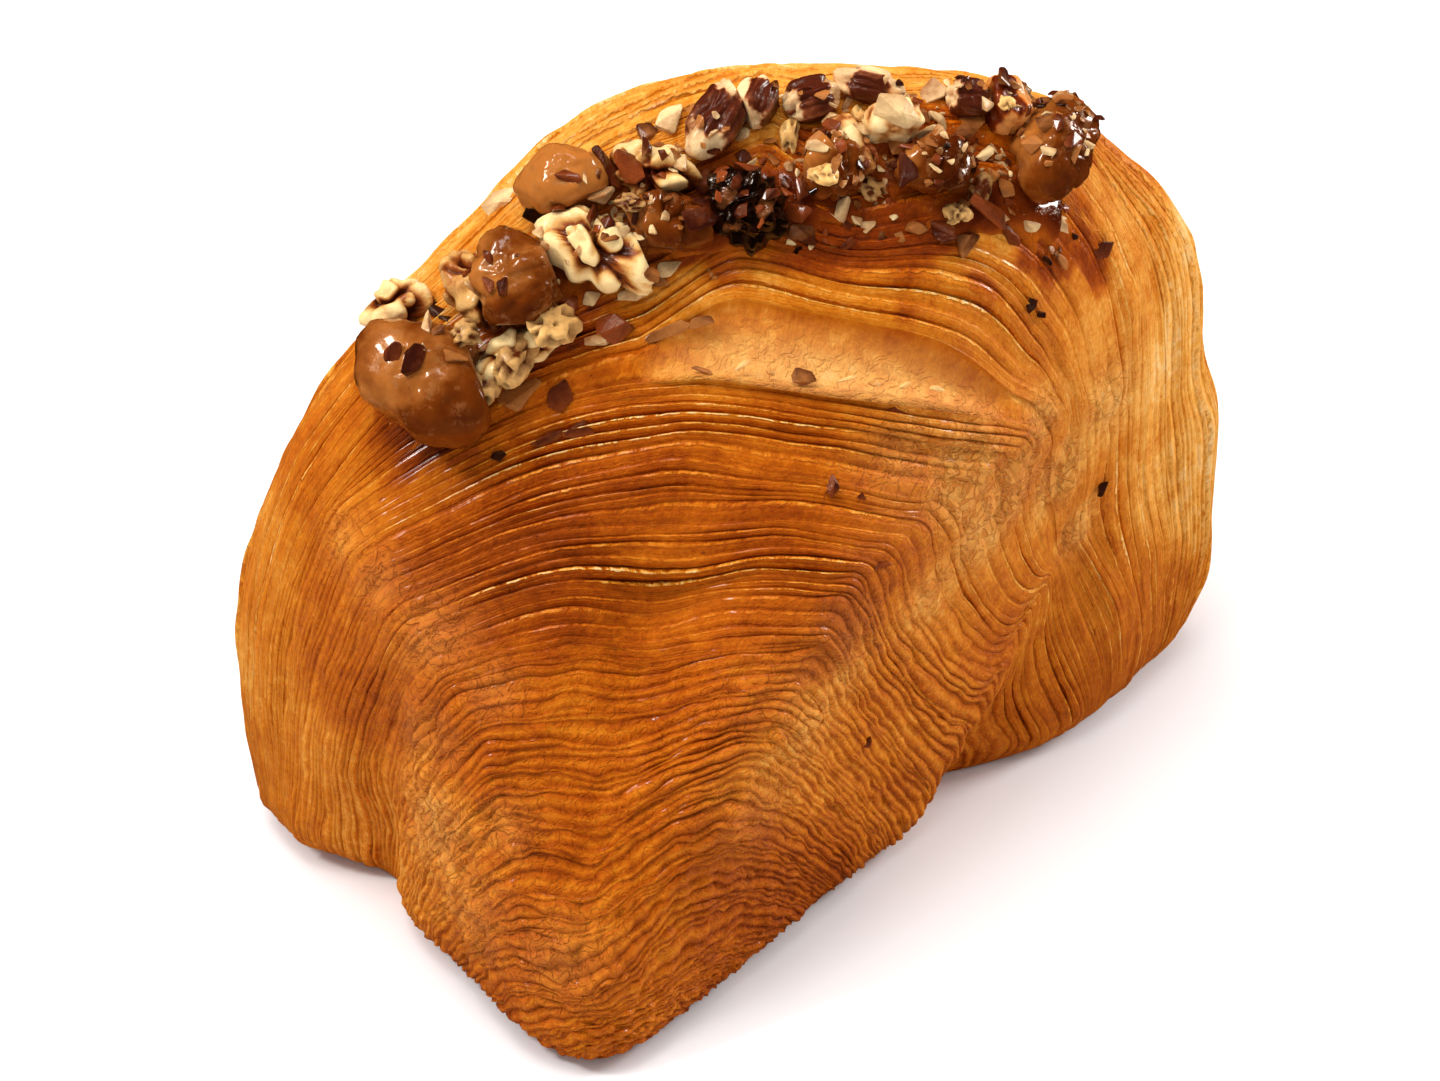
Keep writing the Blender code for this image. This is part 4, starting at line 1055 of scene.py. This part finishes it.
def closed_sheet(name, top, bottom):
    """A mesh of two grids of places, one over the other, closed round their rim."""
    bm = bmesh.new()
    upper, lower = ([[bm.verts.new(placed(p)) for p in row] for row in sheet] for sheet in (top, bottom))
    last_row, last_column = top.shape[0] - 1, top.shape[1] - 1
    for r in range(last_row):
        for c in range(last_column):
            bm.faces.new((upper[r][c], upper[r][c + 1], upper[r + 1][c + 1], upper[r + 1][c]))
            bm.faces.new((lower[r][c], lower[r + 1][c], lower[r + 1][c + 1], lower[r][c + 1]))
    rim = [(0, c) for c in range(last_column)] + [(r, last_column) for r in range(last_row)]
    rim += [(last_row, c) for c in range(last_column, 0, -1)] + [(r, 0) for r in range(last_row, 0, -1)]
    for (r, c), (r2, c2) in zip(rim, rim[1:] + rim[:1]):
        bm.faces.new((upper[r][c], lower[r][c], lower[r2][c2], upper[r2][c2]))
    bmesh.ops.recalc_face_normals(bm, faces=bm.faces)
    for face in bm.faces:
        face.smooth = True
    mesh = bpy.data.meshes.new(name)
    bm.to_mesh(mesh)
    bm.free()
    return mesh


def make_syrup(grid, normals, finish):
    """A film of dark syrup along the band: it shows where it stands proud of the dough."""
    points, facing = film_places(grid, normals)
    thickness = film_thickness(points)
    top = points + facing * np.maximum(thickness, SYRUP_DIP)[..., None]
    mesh = closed_sheet("syrup_film", top, points - facing * SYRUP_DEPTH)
    thick = np.clip(thickness.ravel() / SYRUP_THICKNESS, 0, 1)
    write_marks(mesh, thick=np.concatenate([thick, thick]))
    mesh.materials.append(finish)
    film = add_object("syrup_film", mesh)
    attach(film, "root")
    return film


def as_form(bm, shade):
    """The corners, the triangles and each corner's share of tint of a small form."""
    bmesh.ops.triangulate(bm, faces=bm.faces[:])
    bmesh.ops.recalc_face_normals(bm, faces=bm.faces)
    bm.verts.index_update()
    corners = np.array([v.co for v in bm.verts])
    faces = np.array([[v.index for v in face.verts] for face in bm.faces])
    bm.free()
    return corners, faces, shade(corners)


def chip_form(rng):
    """One broken chip about 1 across, with worn edges and a darker side."""
    bm = bmesh.new()
    for point in unit(rng.normal(size=(10, 3))) * rng.uniform(0.46, 0.58, (10, 1)):
        bm.verts.new(np.sign(point) * np.abs(point) ** 0.8)
    hull = bmesh.ops.convex_hull(bm, input=bm.verts)
    inside = [item for item in hull["geom_interior"] if isinstance(item, bmesh.types.BMVert)]
    bmesh.ops.delete(bm, geom=inside, context="VERTS")
    bmesh.ops.dissolve_limit(bm, angle_limit=0.35, verts=bm.verts[:], edges=bm.edges[:])
    bmesh.ops.bevel(bm, geom=bm.edges[:], offset=0.055, segments=1, affect="EDGES")
    skin = unit(rng.normal(size=3))
    return as_form(bm, lambda corners: 0.15 - 0.45 * (corners @ skin > 0.12))


def lobed_form(rng):
    """One ragged curd of nut about 1 across, darker in its folds."""
    bm = bmesh.new()
    bmesh.ops.create_icosphere(bm, subdivisions=3, radius=0.5)
    shift = Vector(rng.uniform(0, 90, 3))
    folds = []
    for v in bm.verts:
        fold = bell(noise.noise(v.co * 3.3 + shift), 0.13)
        folds.append(fold)
        v.co *= 1 + 0.55 * noise.noise(v.co * 1.9 - shift) - 0.50 * fold
    return as_form(bm, lambda corners: 0.25 - 0.9 * np.array(folds))


def band_line(share):
    """Places along the band and its direction there, for shares from 0 to 1."""
    path = np.array(BAND)
    starts = np.concatenate([[0], np.cumsum(np.linalg.norm(np.diff(path, axis=0), axis=1))])
    at = np.stack([np.interp(share * starts[-1], starts, path[:, k]) for k in range(3)], -1)
    ahead = np.stack([np.interp(share * starts[-1] + 2.0, starts, path[:, k]) for k in range(3)], -1)
    behind = np.stack([np.interp(share * starts[-1] - 2.0, starts, path[:, k]) for k in range(3)], -1)
    return at, unit(ahead - behind)


def strewn(rng, count, tree, dough_tree):
    """Places and normals of bits strewn over the band: few on the lumps, most on its right half."""
    found = []
    while len(found) < count:
        share = rng.uniform(0.07, 1.0)
        if share < 0.38 and rng.uniform() < 0.45:
            continue
        at, along = band_line(share)
        outward = unit(at - np.array((0.55 * at[0], 0, 22.0)))
        side = np.cross(along, outward)
        right_half = ease(0.3, 0.6, share)
        off = rng.normal() * (2.4 + 2.2 * right_half) - 1.2 * right_half
        if not -4.0 - 6.0 * right_half < off < 3.2 + 1.4 * right_half:
            continue
        start = Vector(at + side * off + outward * 24)
        place, normal, _, reach = tree.ray_cast(start, Vector(-outward), 60)
        plain_reach = dough_tree.ray_cast(start, Vector(-outward), 60)[3]
        if plain_reach - reach > 2.2 and rng.uniform() > 0.08 + 0.30 * right_half:
            continue
        normal = np.array(normal) if np.dot(normal, outward) > 0 else -np.array(normal)
        found.append((np.array(place), unit(normal + outward * 0.6)))
    return found


def add_bit(bits, form, place, normal, size, direction, tint):
    """Put one bit on a surface, its size length, width and height, and its length along direction."""
    length = unit(direction - (direction @ normal) * normal)
    axes = np.array([length, np.cross(normal, length), normal])
    corners = (form[0] * size) @ axes + place + normal * size[2] * 0.22
    top = placed(corners)
    if top[:, 2].max() < cad_high[2] - 0.0001:
        bits.append((top, form[1], tint + form[2]))


def join_bits(name, bits, finish, soft):
    """One mesh of all the bits of a kind."""
    starts = np.concatenate([[0], np.cumsum([len(bit[0]) for bit in bits])])
    mesh = bpy.data.meshes.new(name)
    faces = np.concatenate([bit[1] + start for bit, start in zip(bits, starts)])
    mesh.from_pydata(np.concatenate([bit[0] for bit in bits]).tolist(), [], faces.tolist())
    write_marks(mesh, tint=np.concatenate([bit[2] for bit in bits]))
    mesh.materials.append(finish)
    mesh.polygons.foreach_set("use_smooth", np.full(len(mesh.polygons), soft))
    mesh.update()
    piece = add_object(name, mesh)
    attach(piece, "root")
    return piece


def make_bits(tree, dough_tree):
    """The chopped bits: those strewn over the band, and those set where the photograph shows them."""
    rng = np.random.default_rng(SEED + 9)
    back, right, up = camera_axes()
    burnt = seats[-1][0]
    taken = np.zeros((0, 4))
    for kind, (count, (least, greatest), dark, light, gloss, slot) in BITS.items():
        forms = [lobed_form(rng) if kind in LOBED else chip_form(rng) for _ in range(FORMS_PER_KIND)]
        bits = []
        for name, (pixel, size, turn) in SMALL_PIECES[kind].items():
            place, normal = pixel_place(*pixel, tree)
            direction = right * cos(radians(turn)) + up * sin(radians(turn))
            form = forms[len(name) % len(forms)]
            tint = rng.uniform(0.3, 0.9)
            add_bit(bits, form, place, unit(normal + back * 0.3), np.array(size), direction, tint)
            taken = np.vstack([taken, [*place, size[0] * 0.8]])
        for place, normal in strewn(rng, count, tree, dough_tree):
            if kind in OFF_THE_BURNT and np.linalg.norm(place - burnt) < BURNT_REACH:
                continue
            width = least + (greatest - least) * rng.uniform() ** 2.2
            room = np.linalg.norm(taken[:, :3] - place, axis=1) - 0.40 * (taken[:, 3] + width)
            if len(taken) and room.min() < 0:
                continue
            taken = np.vstack([taken, [*place, width]])
            size = width * np.array((rng.uniform(1.0, 1.8), 1.0, rng.uniform(0.35, 0.7)))
            tilted = unit(normal + rng.normal(size=3) * 0.28)
            form = forms[rng.integers(len(forms))]
            add_bit(bits, form, place, tilted, size, rng.normal(size=3), rng.uniform())
        join_bits(kind, bits, bit_finish(kind, dark, light, gloss), kind in LOBED)


# ---------------------------------------------------------------- finishes
def linear(red, green, blue):
    """A colour given as it shows on a screen, 0 to 255, as the shaders take it."""
    shown = np.array((red, green, blue)) / 255
    value = np.where(shown <= 0.04045, shown / 12.92, ((shown + 0.055) / 1.055) ** 2.4)
    return (*value.tolist(), 1.0)


class Value:
    """A socket of a finish. Its operators add the Math nodes of an expression."""

    def __init__(self, finish, socket):
        self.finish = finish
        self.socket = socket

    def math(self, operation, *operands, clamp=False):
        settings = dict(operation=operation, use_clamp=clamp)
        return self.finish.node("ShaderNodeMath", settings, dict(enumerate(operands)))

    def __add__(self, other):
        return self.math("ADD", self, other)

    def __sub__(self, other):
        return self.math("SUBTRACT", self, other)

    def __rsub__(self, other):
        return self.math("SUBTRACT", other, self)

    def __mul__(self, other):
        return self.math("MULTIPLY", self, other)

    def size(self):
        """The value without its sign."""
        return self.math("ABSOLUTE", self)

    def held(self):
        """The value held between 0 and 1."""
        return self.math("ADD", self, 0.0, clamp=True)

    def above(self, low, high):
        """0 under low, 1 over high and smooth between."""
        inputs = {"Value": self, "From Min": low, "From Max": high}
        return self.finish.node("ShaderNodeMapRange", dict(interpolation_type="SMOOTHSTEP"), inputs)

    __radd__ = __add__
    __rmul__ = __mul__


class Finish:
    """A material and the one method that adds its nodes."""

    def __init__(self, name):
        self.material = bpy.data.materials.new(name)
        self.material.use_nodes = True
        self.tree = self.material.node_tree
        self.tree.nodes.clear()

    def node(self, kind, settings=None, inputs=None, output=0):
        """A new node: its settings are set first, then its sockets are given values or links."""
        node = self.tree.nodes.new(kind)
        for name, value in (settings or {}).items():
            if name == "stops":
                self.set_stops(node.color_ramp, value)
            else:
                setattr(node, name, value)
        for name, value in (inputs or {}).items():
            if isinstance(value, Value):
                self.tree.links.new(value.socket, node.inputs[name])
            else:
                node.inputs[name].default_value = value
        return Value(self, node.outputs[output]) if node.outputs else None

    @staticmethod
    def set_stops(ramp, stops):
        """The stops of a colour ramp."""
        while len(ramp.elements) < len(stops):
            ramp.elements.new(0.5)
        for element, (position, colour) in zip(ramp.elements, stops):
            element.position = position
            element.color = colour

    def mark(self, name):
        """An attribute of the mesh."""
        return self.node("ShaderNodeAttribute", dict(attribute_name=name), output="Fac")

    def at_object(self):
        """Object coordinates."""
        return self.node("ShaderNodeTexCoord", output="Object")

    def along_layers(self, scale, detail, roughness):
        """Noise over the layers, scaled along them and across them."""
        uv = self.node("ShaderNodeUVMap")
        stretched = self.node("ShaderNodeMapping", None, {"Vector": uv, "Scale": (*scale, 1.0)})
        return self.noise(stretched, 1.0, detail, roughness)

    def noise(self, vector, scale, detail=3.0, roughness=0.5, distortion=0.0):
        """Noise at a vector."""
        inputs = {"Vector": vector, "Scale": scale, "Detail": detail, "Roughness": roughness}
        inputs["Distortion"] = distortion
        return self.node("ShaderNodeTexNoise", None, inputs)

    def mix(self, share, first, second):
        """Two colours mixed."""
        return self.node("ShaderNodeMix", dict(data_type="RGBA"), {0: share, 6: first, 7: second}, output=2)

    def ramp(self, value, stops):
        """A colour for a value."""
        return self.node("ShaderNodeValToRGB", dict(stops=stops), {0: value})

    def bump(self, height, strength, distance):
        """A bumped normal."""
        inputs = {"Height": height, "Strength": strength, "Distance": distance}
        return self.node("ShaderNodeBump", None, inputs)

    def finished(self, **sockets):
        """Close the finish with a Principled shader and return the material."""
        inputs = {name.replace("_", " "): value for name, value in sockets.items()}
        shader = self.node("ShaderNodeBsdfPrincipled", None, inputs)
        self.node("ShaderNodeOutputMaterial", None, {0: shader})
        return self.material


CRUST_TONES = (
    (0.00, linear(252, 212, 146)),
    (0.18, linear(242, 168, 70)),
    (0.36, linear(214, 122, 24)),
    (0.55, linear(184, 88, 9)),
    (0.75, linear(146, 57, 4)),
    (1.00, linear(86, 27, 2)),
)
# Each kind of nut: its four tones from skin to flesh, as they show on a screen, and its gloss.
NUT_TONES = {
    "walnut": ((66, 18, 3), (150, 72, 20), (222, 166, 92), (248, 212, 148), 0.3),
    "pecan": ((78, 26, 10), (136, 66, 32), (204, 146, 94), (240, 204, 150), 0.35),
    "nut_meat": ((140, 72, 26), (204, 136, 70), (234, 184, 116), (246, 210, 150), 0.2),
    "cup_nut": ((98, 28, 3), (158, 64, 10), (196, 104, 32), (226, 158, 84), 0.6),
}
NUT_STOPS = (0.08, 0.34, 0.62, 0.95)
CRUST_SHEEN = (1.0, 0.50, 0.12, 1.0)
WARM_SHEEN = (1.0, 0.72, 0.50, 1.0)


def edge_lines(f, along, across, width):
    """Dark cracks where across is a whole number, painted shade in the grooves, and broken pale lips beside
    them, painted highlights; both also shape the bump.
    """
    nearest = (across + 0.5).math("FLOOR", across + 0.5)
    apart = across - nearest
    slow_at = f.node("ShaderNodeCombineXYZ", None, {0: along * 0.085, 1: nearest * 5.17})
    quick_at = f.node("ShaderNodeCombineXYZ", None, {0: along * 0.75, 1: nearest * 3.31})
    slow = f.noise(slow_at, 1.0, 2.0, 0.55)
    quick = f.noise(quick_at, 1.0, 3.0, 0.70)
    # The dark cracks: painted shade in the grooves, and relief for the bump.
    crack_and_painted_shade = (1 - (apart + 0.03).size().above(width * 0.30, width)) * slow.above(0.32, 0.62)
    # The broken pale lips: painted highlights along the layers' edges, and relief for the bump.
    lip = (1 - (apart - 0.17).size().above(width * 0.45, width * 1.05)) * quick.above(0.34, 0.56)
    return crack_and_painted_shade, lip * (1.15 - slow).above(0.42, 0.70), slow


def crust_finish():
    """Baked laminated crust: browned by place, by layer and in streaks, with painted shade in its grooves
    and painted highlights on its lips.
    """
    f = Finish("laminated_crust")
    uv = f.node("ShaderNodeUVMap")
    along = f.node("ShaderNodeSeparateXYZ", None, {0: uv}, output="X")
    across = f.node("ShaderNodeSeparateXYZ", None, {0: uv}, output="Y")
    across = across + (f.along_layers((0.75, 1.1), 4.0, 0.66) - 0.5) * 0.42
    crack_and_painted_shade, lip, slow = edge_lines(f, along, across, 0.13)
    thin_crack_and_painted_shade, thin_lip_and_painted_highlight, _ = edge_lines(f, along, across * 2.35 + 0.4, 0.22)
    streak = f.along_layers((0.16, 1.4), 3.0, 0.6)
    fine = f.along_layers((1.7, 3.2), 4.0, 0.66)
    place = f.at_object()
    cloud = f.noise(place, 70.0, 4.0, 0.6)
    mottle = f.noise(place, 420.0, 4.0, 0.68)
    grain = f.noise(place, 1400.0, 3.0, 0.7)
    worm = 1 - (f.noise(place, 620.0, 2.0, 0.5, 0.6) - 0.5).size().above(0.015, 0.07)
    blister = f.mark("blister")
    crumb = f.mark("crumb")
    puffy = f.mark("puffy")
    deep = (f.mark("deep") * 0.75 + 0.25) * (1 - crumb) * (1 - puffy * 0.80) * (1 - blister * 0.9)
    # ridge is 0 at a groove and 1 midway between grooves; it places the painted shade on the swollen ridges.
    ridge = (across - (across + 0.5).math("FLOOR", across + 0.5)).size() * 2
    tone = f.mark("tone") + (slow - 0.5) * 0.18 + (streak - 0.5) * 0.16 + (cloud - 0.5) * 0.44
    tone = tone + (fine - 0.5) * 0.30 + (mottle - 0.5) * 0.44 + (grain - 0.5) * 0.22
    tone = tone + grain.above(0.66, 0.72) * 0.14 + blister * (worm * 0.09 - 0.20)
    # The opening's crumb is darker and more orange near its upper edge, where its crumb share is low: partly
    # its own colour, partly painted shade under the layer above.
    crumb_tone = 0.80 - crumb * 0.60 + (cloud - 0.5) * 0.4 + (mottle - 0.5) * 1.1
    tone = tone * (1 - crumb * 0.92) + crumb_tone * (crumb * 0.92)
    # Painted shade: the cracks darken the crust in its grooves, as strongly as the grooves are deep.
    tone = tone + crack_and_painted_shade * deep * 0.15 + thin_crack_and_painted_shade * deep * 0.06
    # Painted highlight: the lips make the crust paler along the layers' edges.
    tone = tone - (lip + thin_lip_and_painted_highlight * 0.25) * deep * (f.mark("tone") * 0.80 - 0.08)
    # Painted shade and light: the swollen ridges are darker towards their grooves and lighter on their tops.
    tone = tone + puffy * (1 - blister) * (0.50 - ridge) * 0.24
    glaze = f.mark("glaze")
    tone = tone + glaze * (0.34 + (cloud - 0.5) * 0.9)
    colour = f.mix(crumb * crumb * 0.5, f.ramp((tone * 0.94).held(), CRUST_TONES), linear(226, 172, 110))
    colour = f.mix(blister * 0.34, colour, linear(196, 124, 70))
    height = (lip * 1.2 + thin_lip_and_painted_highlight * 0.3 - crack_and_painted_shade * 0.8 - thin_crack_and_painted_shade * 0.4) * deep
    height = height + fine * (0.8 - crumb * 0.7) + mottle * (1.0 + puffy * 0.9 + crumb * 1.2) + grain * 0.40
    height = height - worm * (blister * 1.5 + puffy * 0.5 + crumb * 0.4)
    normal = f.bump(height, 0.75, 0.00032)
    roughness = 0.42 + (mottle - 0.5) * 0.5 + crumb * 0.25 - lip * 0.12 - glaze * 0.15
    return f.finished(
        Base_Color=colour, Roughness=roughness, Normal=normal, Specular_IOR_Level=0.30,
        Specular_Tint=CRUST_SHEEN, Coat_Weight=(lip * 0.40 + glaze * 0.5).held(), Coat_Roughness=0.16,
        Coat_Tint=(1.0, 0.84, 0.62, 1.0), Subsurface_Weight=0.05, Subsurface_Radius=(1.0, 0.42, 0.16),
        Subsurface_Scale=0.001,
    )


def caramel_finish():
    """Amber lumps of sugar: clear and glossy, grainy and tan where crumbs stuck on, with painted light
    making their tops and upper left sides lighter.
    """
    f = Finish("caramel")
    place = f.at_object()
    cloud = f.noise(place, 170.0, 3.0, 0.55)
    grain = f.noise(place, 900.0, 4.0, 0.7)
    stops = (
        (0.10, linear(44, 10, 0)), (0.35, linear(76, 26, 2)),
        (0.60, linear(110, 50, 7)), (0.90, linear(176, 108, 46)),
    )
    # The amber mark holds each lump's own shade plus painted light on its top and upper left side.
    shade = f.mark("amber") + (cloud - 0.5) * 1.0 + (grain - 0.5) * 0.2
    crumb = (f.mark("pale") * grain.above(0.45, 0.62)).held()
    colour = f.mix(crumb * 0.55, f.ramp(shade.held(), stops), linear(150, 92, 44))
    normal = f.bump(grain * 0.35 + cloud * 0.5, 0.40, 0.0005)
    return f.finished(
        Base_Color=colour, Roughness=0.20 + crumb * 0.3, Normal=normal, Specular_IOR_Level=0.40,
        Specular_Tint=WARM_SHEEN, Coat_Weight=(0.5 - crumb * 0.4).held(), Coat_Roughness=0.08,
        Coat_Tint=(1.0, 0.86, 0.70, 1.0), Subsurface_Weight=0.25, Subsurface_Radius=(1.0, 0.40, 0.12),
        Subsurface_Scale=0.0016,
    )


def nut_finish(name):
    """Nut pieces: thin skin in the creases, the first tone, up to bare flesh, the last."""
    *tones, gloss = NUT_TONES[name]
    f = Finish(name)
    place = f.at_object()
    cloud = f.noise(place, 260.0, 3.0, 0.6)
    grain = f.noise(place, 1500.0, 3.0, 0.7)
    share = f.mark("pale") + (cloud - 0.5) * 0.7 + (grain - 0.5) * 0.35
    colour = f.ramp(share.held(), [(at, linear(*tone)) for at, tone in zip(NUT_STOPS, tones)])
    normal = f.bump(grain * 0.6 + cloud * 0.4, 0.6, 0.0004)
    return f.finished(
        Base_Color=colour, Roughness=0.30 + share.held() * 0.2, Normal=normal, Specular_IOR_Level=0.35,
        Specular_Tint=WARM_SHEEN, Coat_Weight=gloss, Coat_Roughness=0.14, Subsurface_Weight=0.10,
        Subsurface_Radius=(1.0, 0.6, 0.3), Subsurface_Scale=0.0012,
    )


def burnt_finish():
    """Sugar burnt nearly black, with tan bits caught in it."""
    f = Finish("burnt_sugar")
    grain = f.noise(f.at_object(), 900.0, 3.0, 0.65)
    dark = f.ramp(grain, ((0.4, linear(10, 3, 1)), (0.7, linear(34, 10, 4))))
    colour = f.mix(f.mark("pale") * 0.7, dark, linear(120, 64, 28))
    normal = f.bump(grain, 0.6, 0.0005)
    return f.finished(
        Base_Color=colour, Roughness=0.2, Normal=normal, Specular_IOR_Level=0.40, Specular_Tint=WARM_SHEEN,
        Coat_Weight=0.6, Coat_Roughness=0.08,
    )


def syrup_finish():
    """Red-brown syrup, wet and glossy, lighter where it lies thin."""
    f = Finish("dark_syrup")
    place = f.at_object()
    cloud = f.noise(place, 240.0, 3.0, 0.55)
    shade = f.mark("thick") * 0.75 + (cloud - 0.5) * 0.9
    stops = (
        (0.0, linear(176, 84, 12)), (0.30, linear(128, 50, 8)),
        (0.60, linear(86, 26, 4)), (0.95, linear(50, 10, 1)),
    )
    normal = f.bump(f.noise(place, 420.0, 4.0, 0.65), 0.8, 0.0012)
    return f.finished(
        Base_Color=f.ramp(shade.held(), stops), Roughness=0.12, Normal=normal, Specular_IOR_Level=0.45,
        Specular_Tint=WARM_SHEEN, Coat_Weight=0.8, Coat_Roughness=0.05,
    )


def bit_finish(name, dark, light, gloss):
    """Chopped bits: each has a tint of its own between two tones."""
    f = Finish(name)
    grain = f.noise(f.at_object(), 1300.0, 3.0, 0.7)
    stops = ((0.0, linear(*dark)), (1.0, linear(*light)))
    colour = f.ramp((f.mark("tint") + (grain - 0.5) * 0.8).held(), stops)
    return f.finished(
        Base_Color=colour, Roughness=0.30, Normal=f.bump(grain, 0.5, 0.0003), Specular_IOR_Level=0.35,
        Specular_Tint=WARM_SHEEN, Coat_Weight=gloss, Coat_Roughness=0.1, Subsurface_Weight=0.08,
        Subsurface_Radius=(1.0, 0.6, 0.3), Subsurface_Scale=0.0008,
    )


# ---------------------------------------------------------------- floor, light and camera
def add_camera():
    """The camera at the photograph's angle."""
    back = camera_axes()[0]
    data = bpy.data.cameras.new("view")
    data.lens = CAMERA_LENS
    data.sensor_width = CAMERA_SENSOR
    data.clip_start, data.clip_end = CAMERA_REACH
    camera = add_object("view", data)
    camera.location = placed(CAMERA_TARGET + back * CAMERA_DISTANCE)
    camera.rotation_mode = "QUATERNION"
    camera.rotation_quaternion = Vector(-back).to_track_quat("-Z", "Y")
    bpy.context.scene.camera = camera


def add_softbox(name, place, size, power, mirrored):
    """A square area light that faces the bun."""
    data = bpy.data.lights.new(name, "AREA")
    data.size = size
    data.energy = power
    light = add_object(name, data)
    light.visible_glossy = mirrored
    light.location = place
    light.rotation_mode = "QUATERNION"
    light.rotation_quaternion = (Vector((0, 0, 0.04)) - Vector(place)).to_track_quat("-Z", "Y")


def add_stage():
    """A white floor and soft studio light."""
    select_none()
    bpy.ops.mesh.primitive_plane_add(size=6.0, location=(0, 0, 0))
    floor = bpy.context.object
    floor.name = "floor"
    f = Finish("white_floor")
    floor.data.materials.append(f.finished(Base_Color=(0.93, 0.93, 0.935, 1), Roughness=0.6))
    floor.visible_glossy = False
    world = bpy.data.worlds.new("studio")
    world.cycles_visibility.glossy = False
    bpy.context.scene.world = world
    world.use_nodes = True
    background = world.node_tree.nodes["Background"]
    background.inputs["Color"].default_value = (1, 1, 1, 1)
    background.inputs["Strength"].default_value = SKY_STRENGTH
    for name, softbox in SOFTBOXES.items():
        add_softbox(name, *softbox)
    bpy.context.scene.view_settings.view_transform = "Standard"


dough = smooth_dough()
COARSE_DOUGH = dough[1][::3, ::2]
tree = tree_of(COARSE_DOUGH)
BROWNING_PLACES = [(pixel_place(x, y, tree)[0], tone) for x, y, tone in BROWNING.values()]
BLISTER_PLACES = [(pixel_place(x, y, tree)[0], reach, share) for x, y, reach, share in BLISTERS.values()]
SMOOTH_PLACES = [(pixel_place(x, y, tree)[0], reach, share) for x, y, reach, share in SMOOTH.values()]
crust_material = crust_finish()
for back in (False, True):
    crust = make_crust(dough, back)
    crust.data.materials.append(crust_material)
    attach(crust, "root")
    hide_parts("pastry")

FINISHES = {
    "lump": caramel_finish(),
    "walnut": nut_finish("walnut"),
    "pecan": nut_finish("pecan"),
    "chunk": nut_finish("nut_meat"),
    "cup": nut_finish("cup_nut"),
    "cluster": burnt_finish(),
}
seats = [seat(place, size, turn, tree) for _, _, place, size, turn in TOPPINGS]
toppings = [make_topping(index, seats, FINISHES[row[1]]) for index, row in enumerate(TOPPINGS)]
syrup = make_syrup(dough[1], dough[3], syrup_finish())
make_bits(tree_of(COARSE_DOUGH, [*toppings, syrup]), tree)

add_stage()
add_camera()
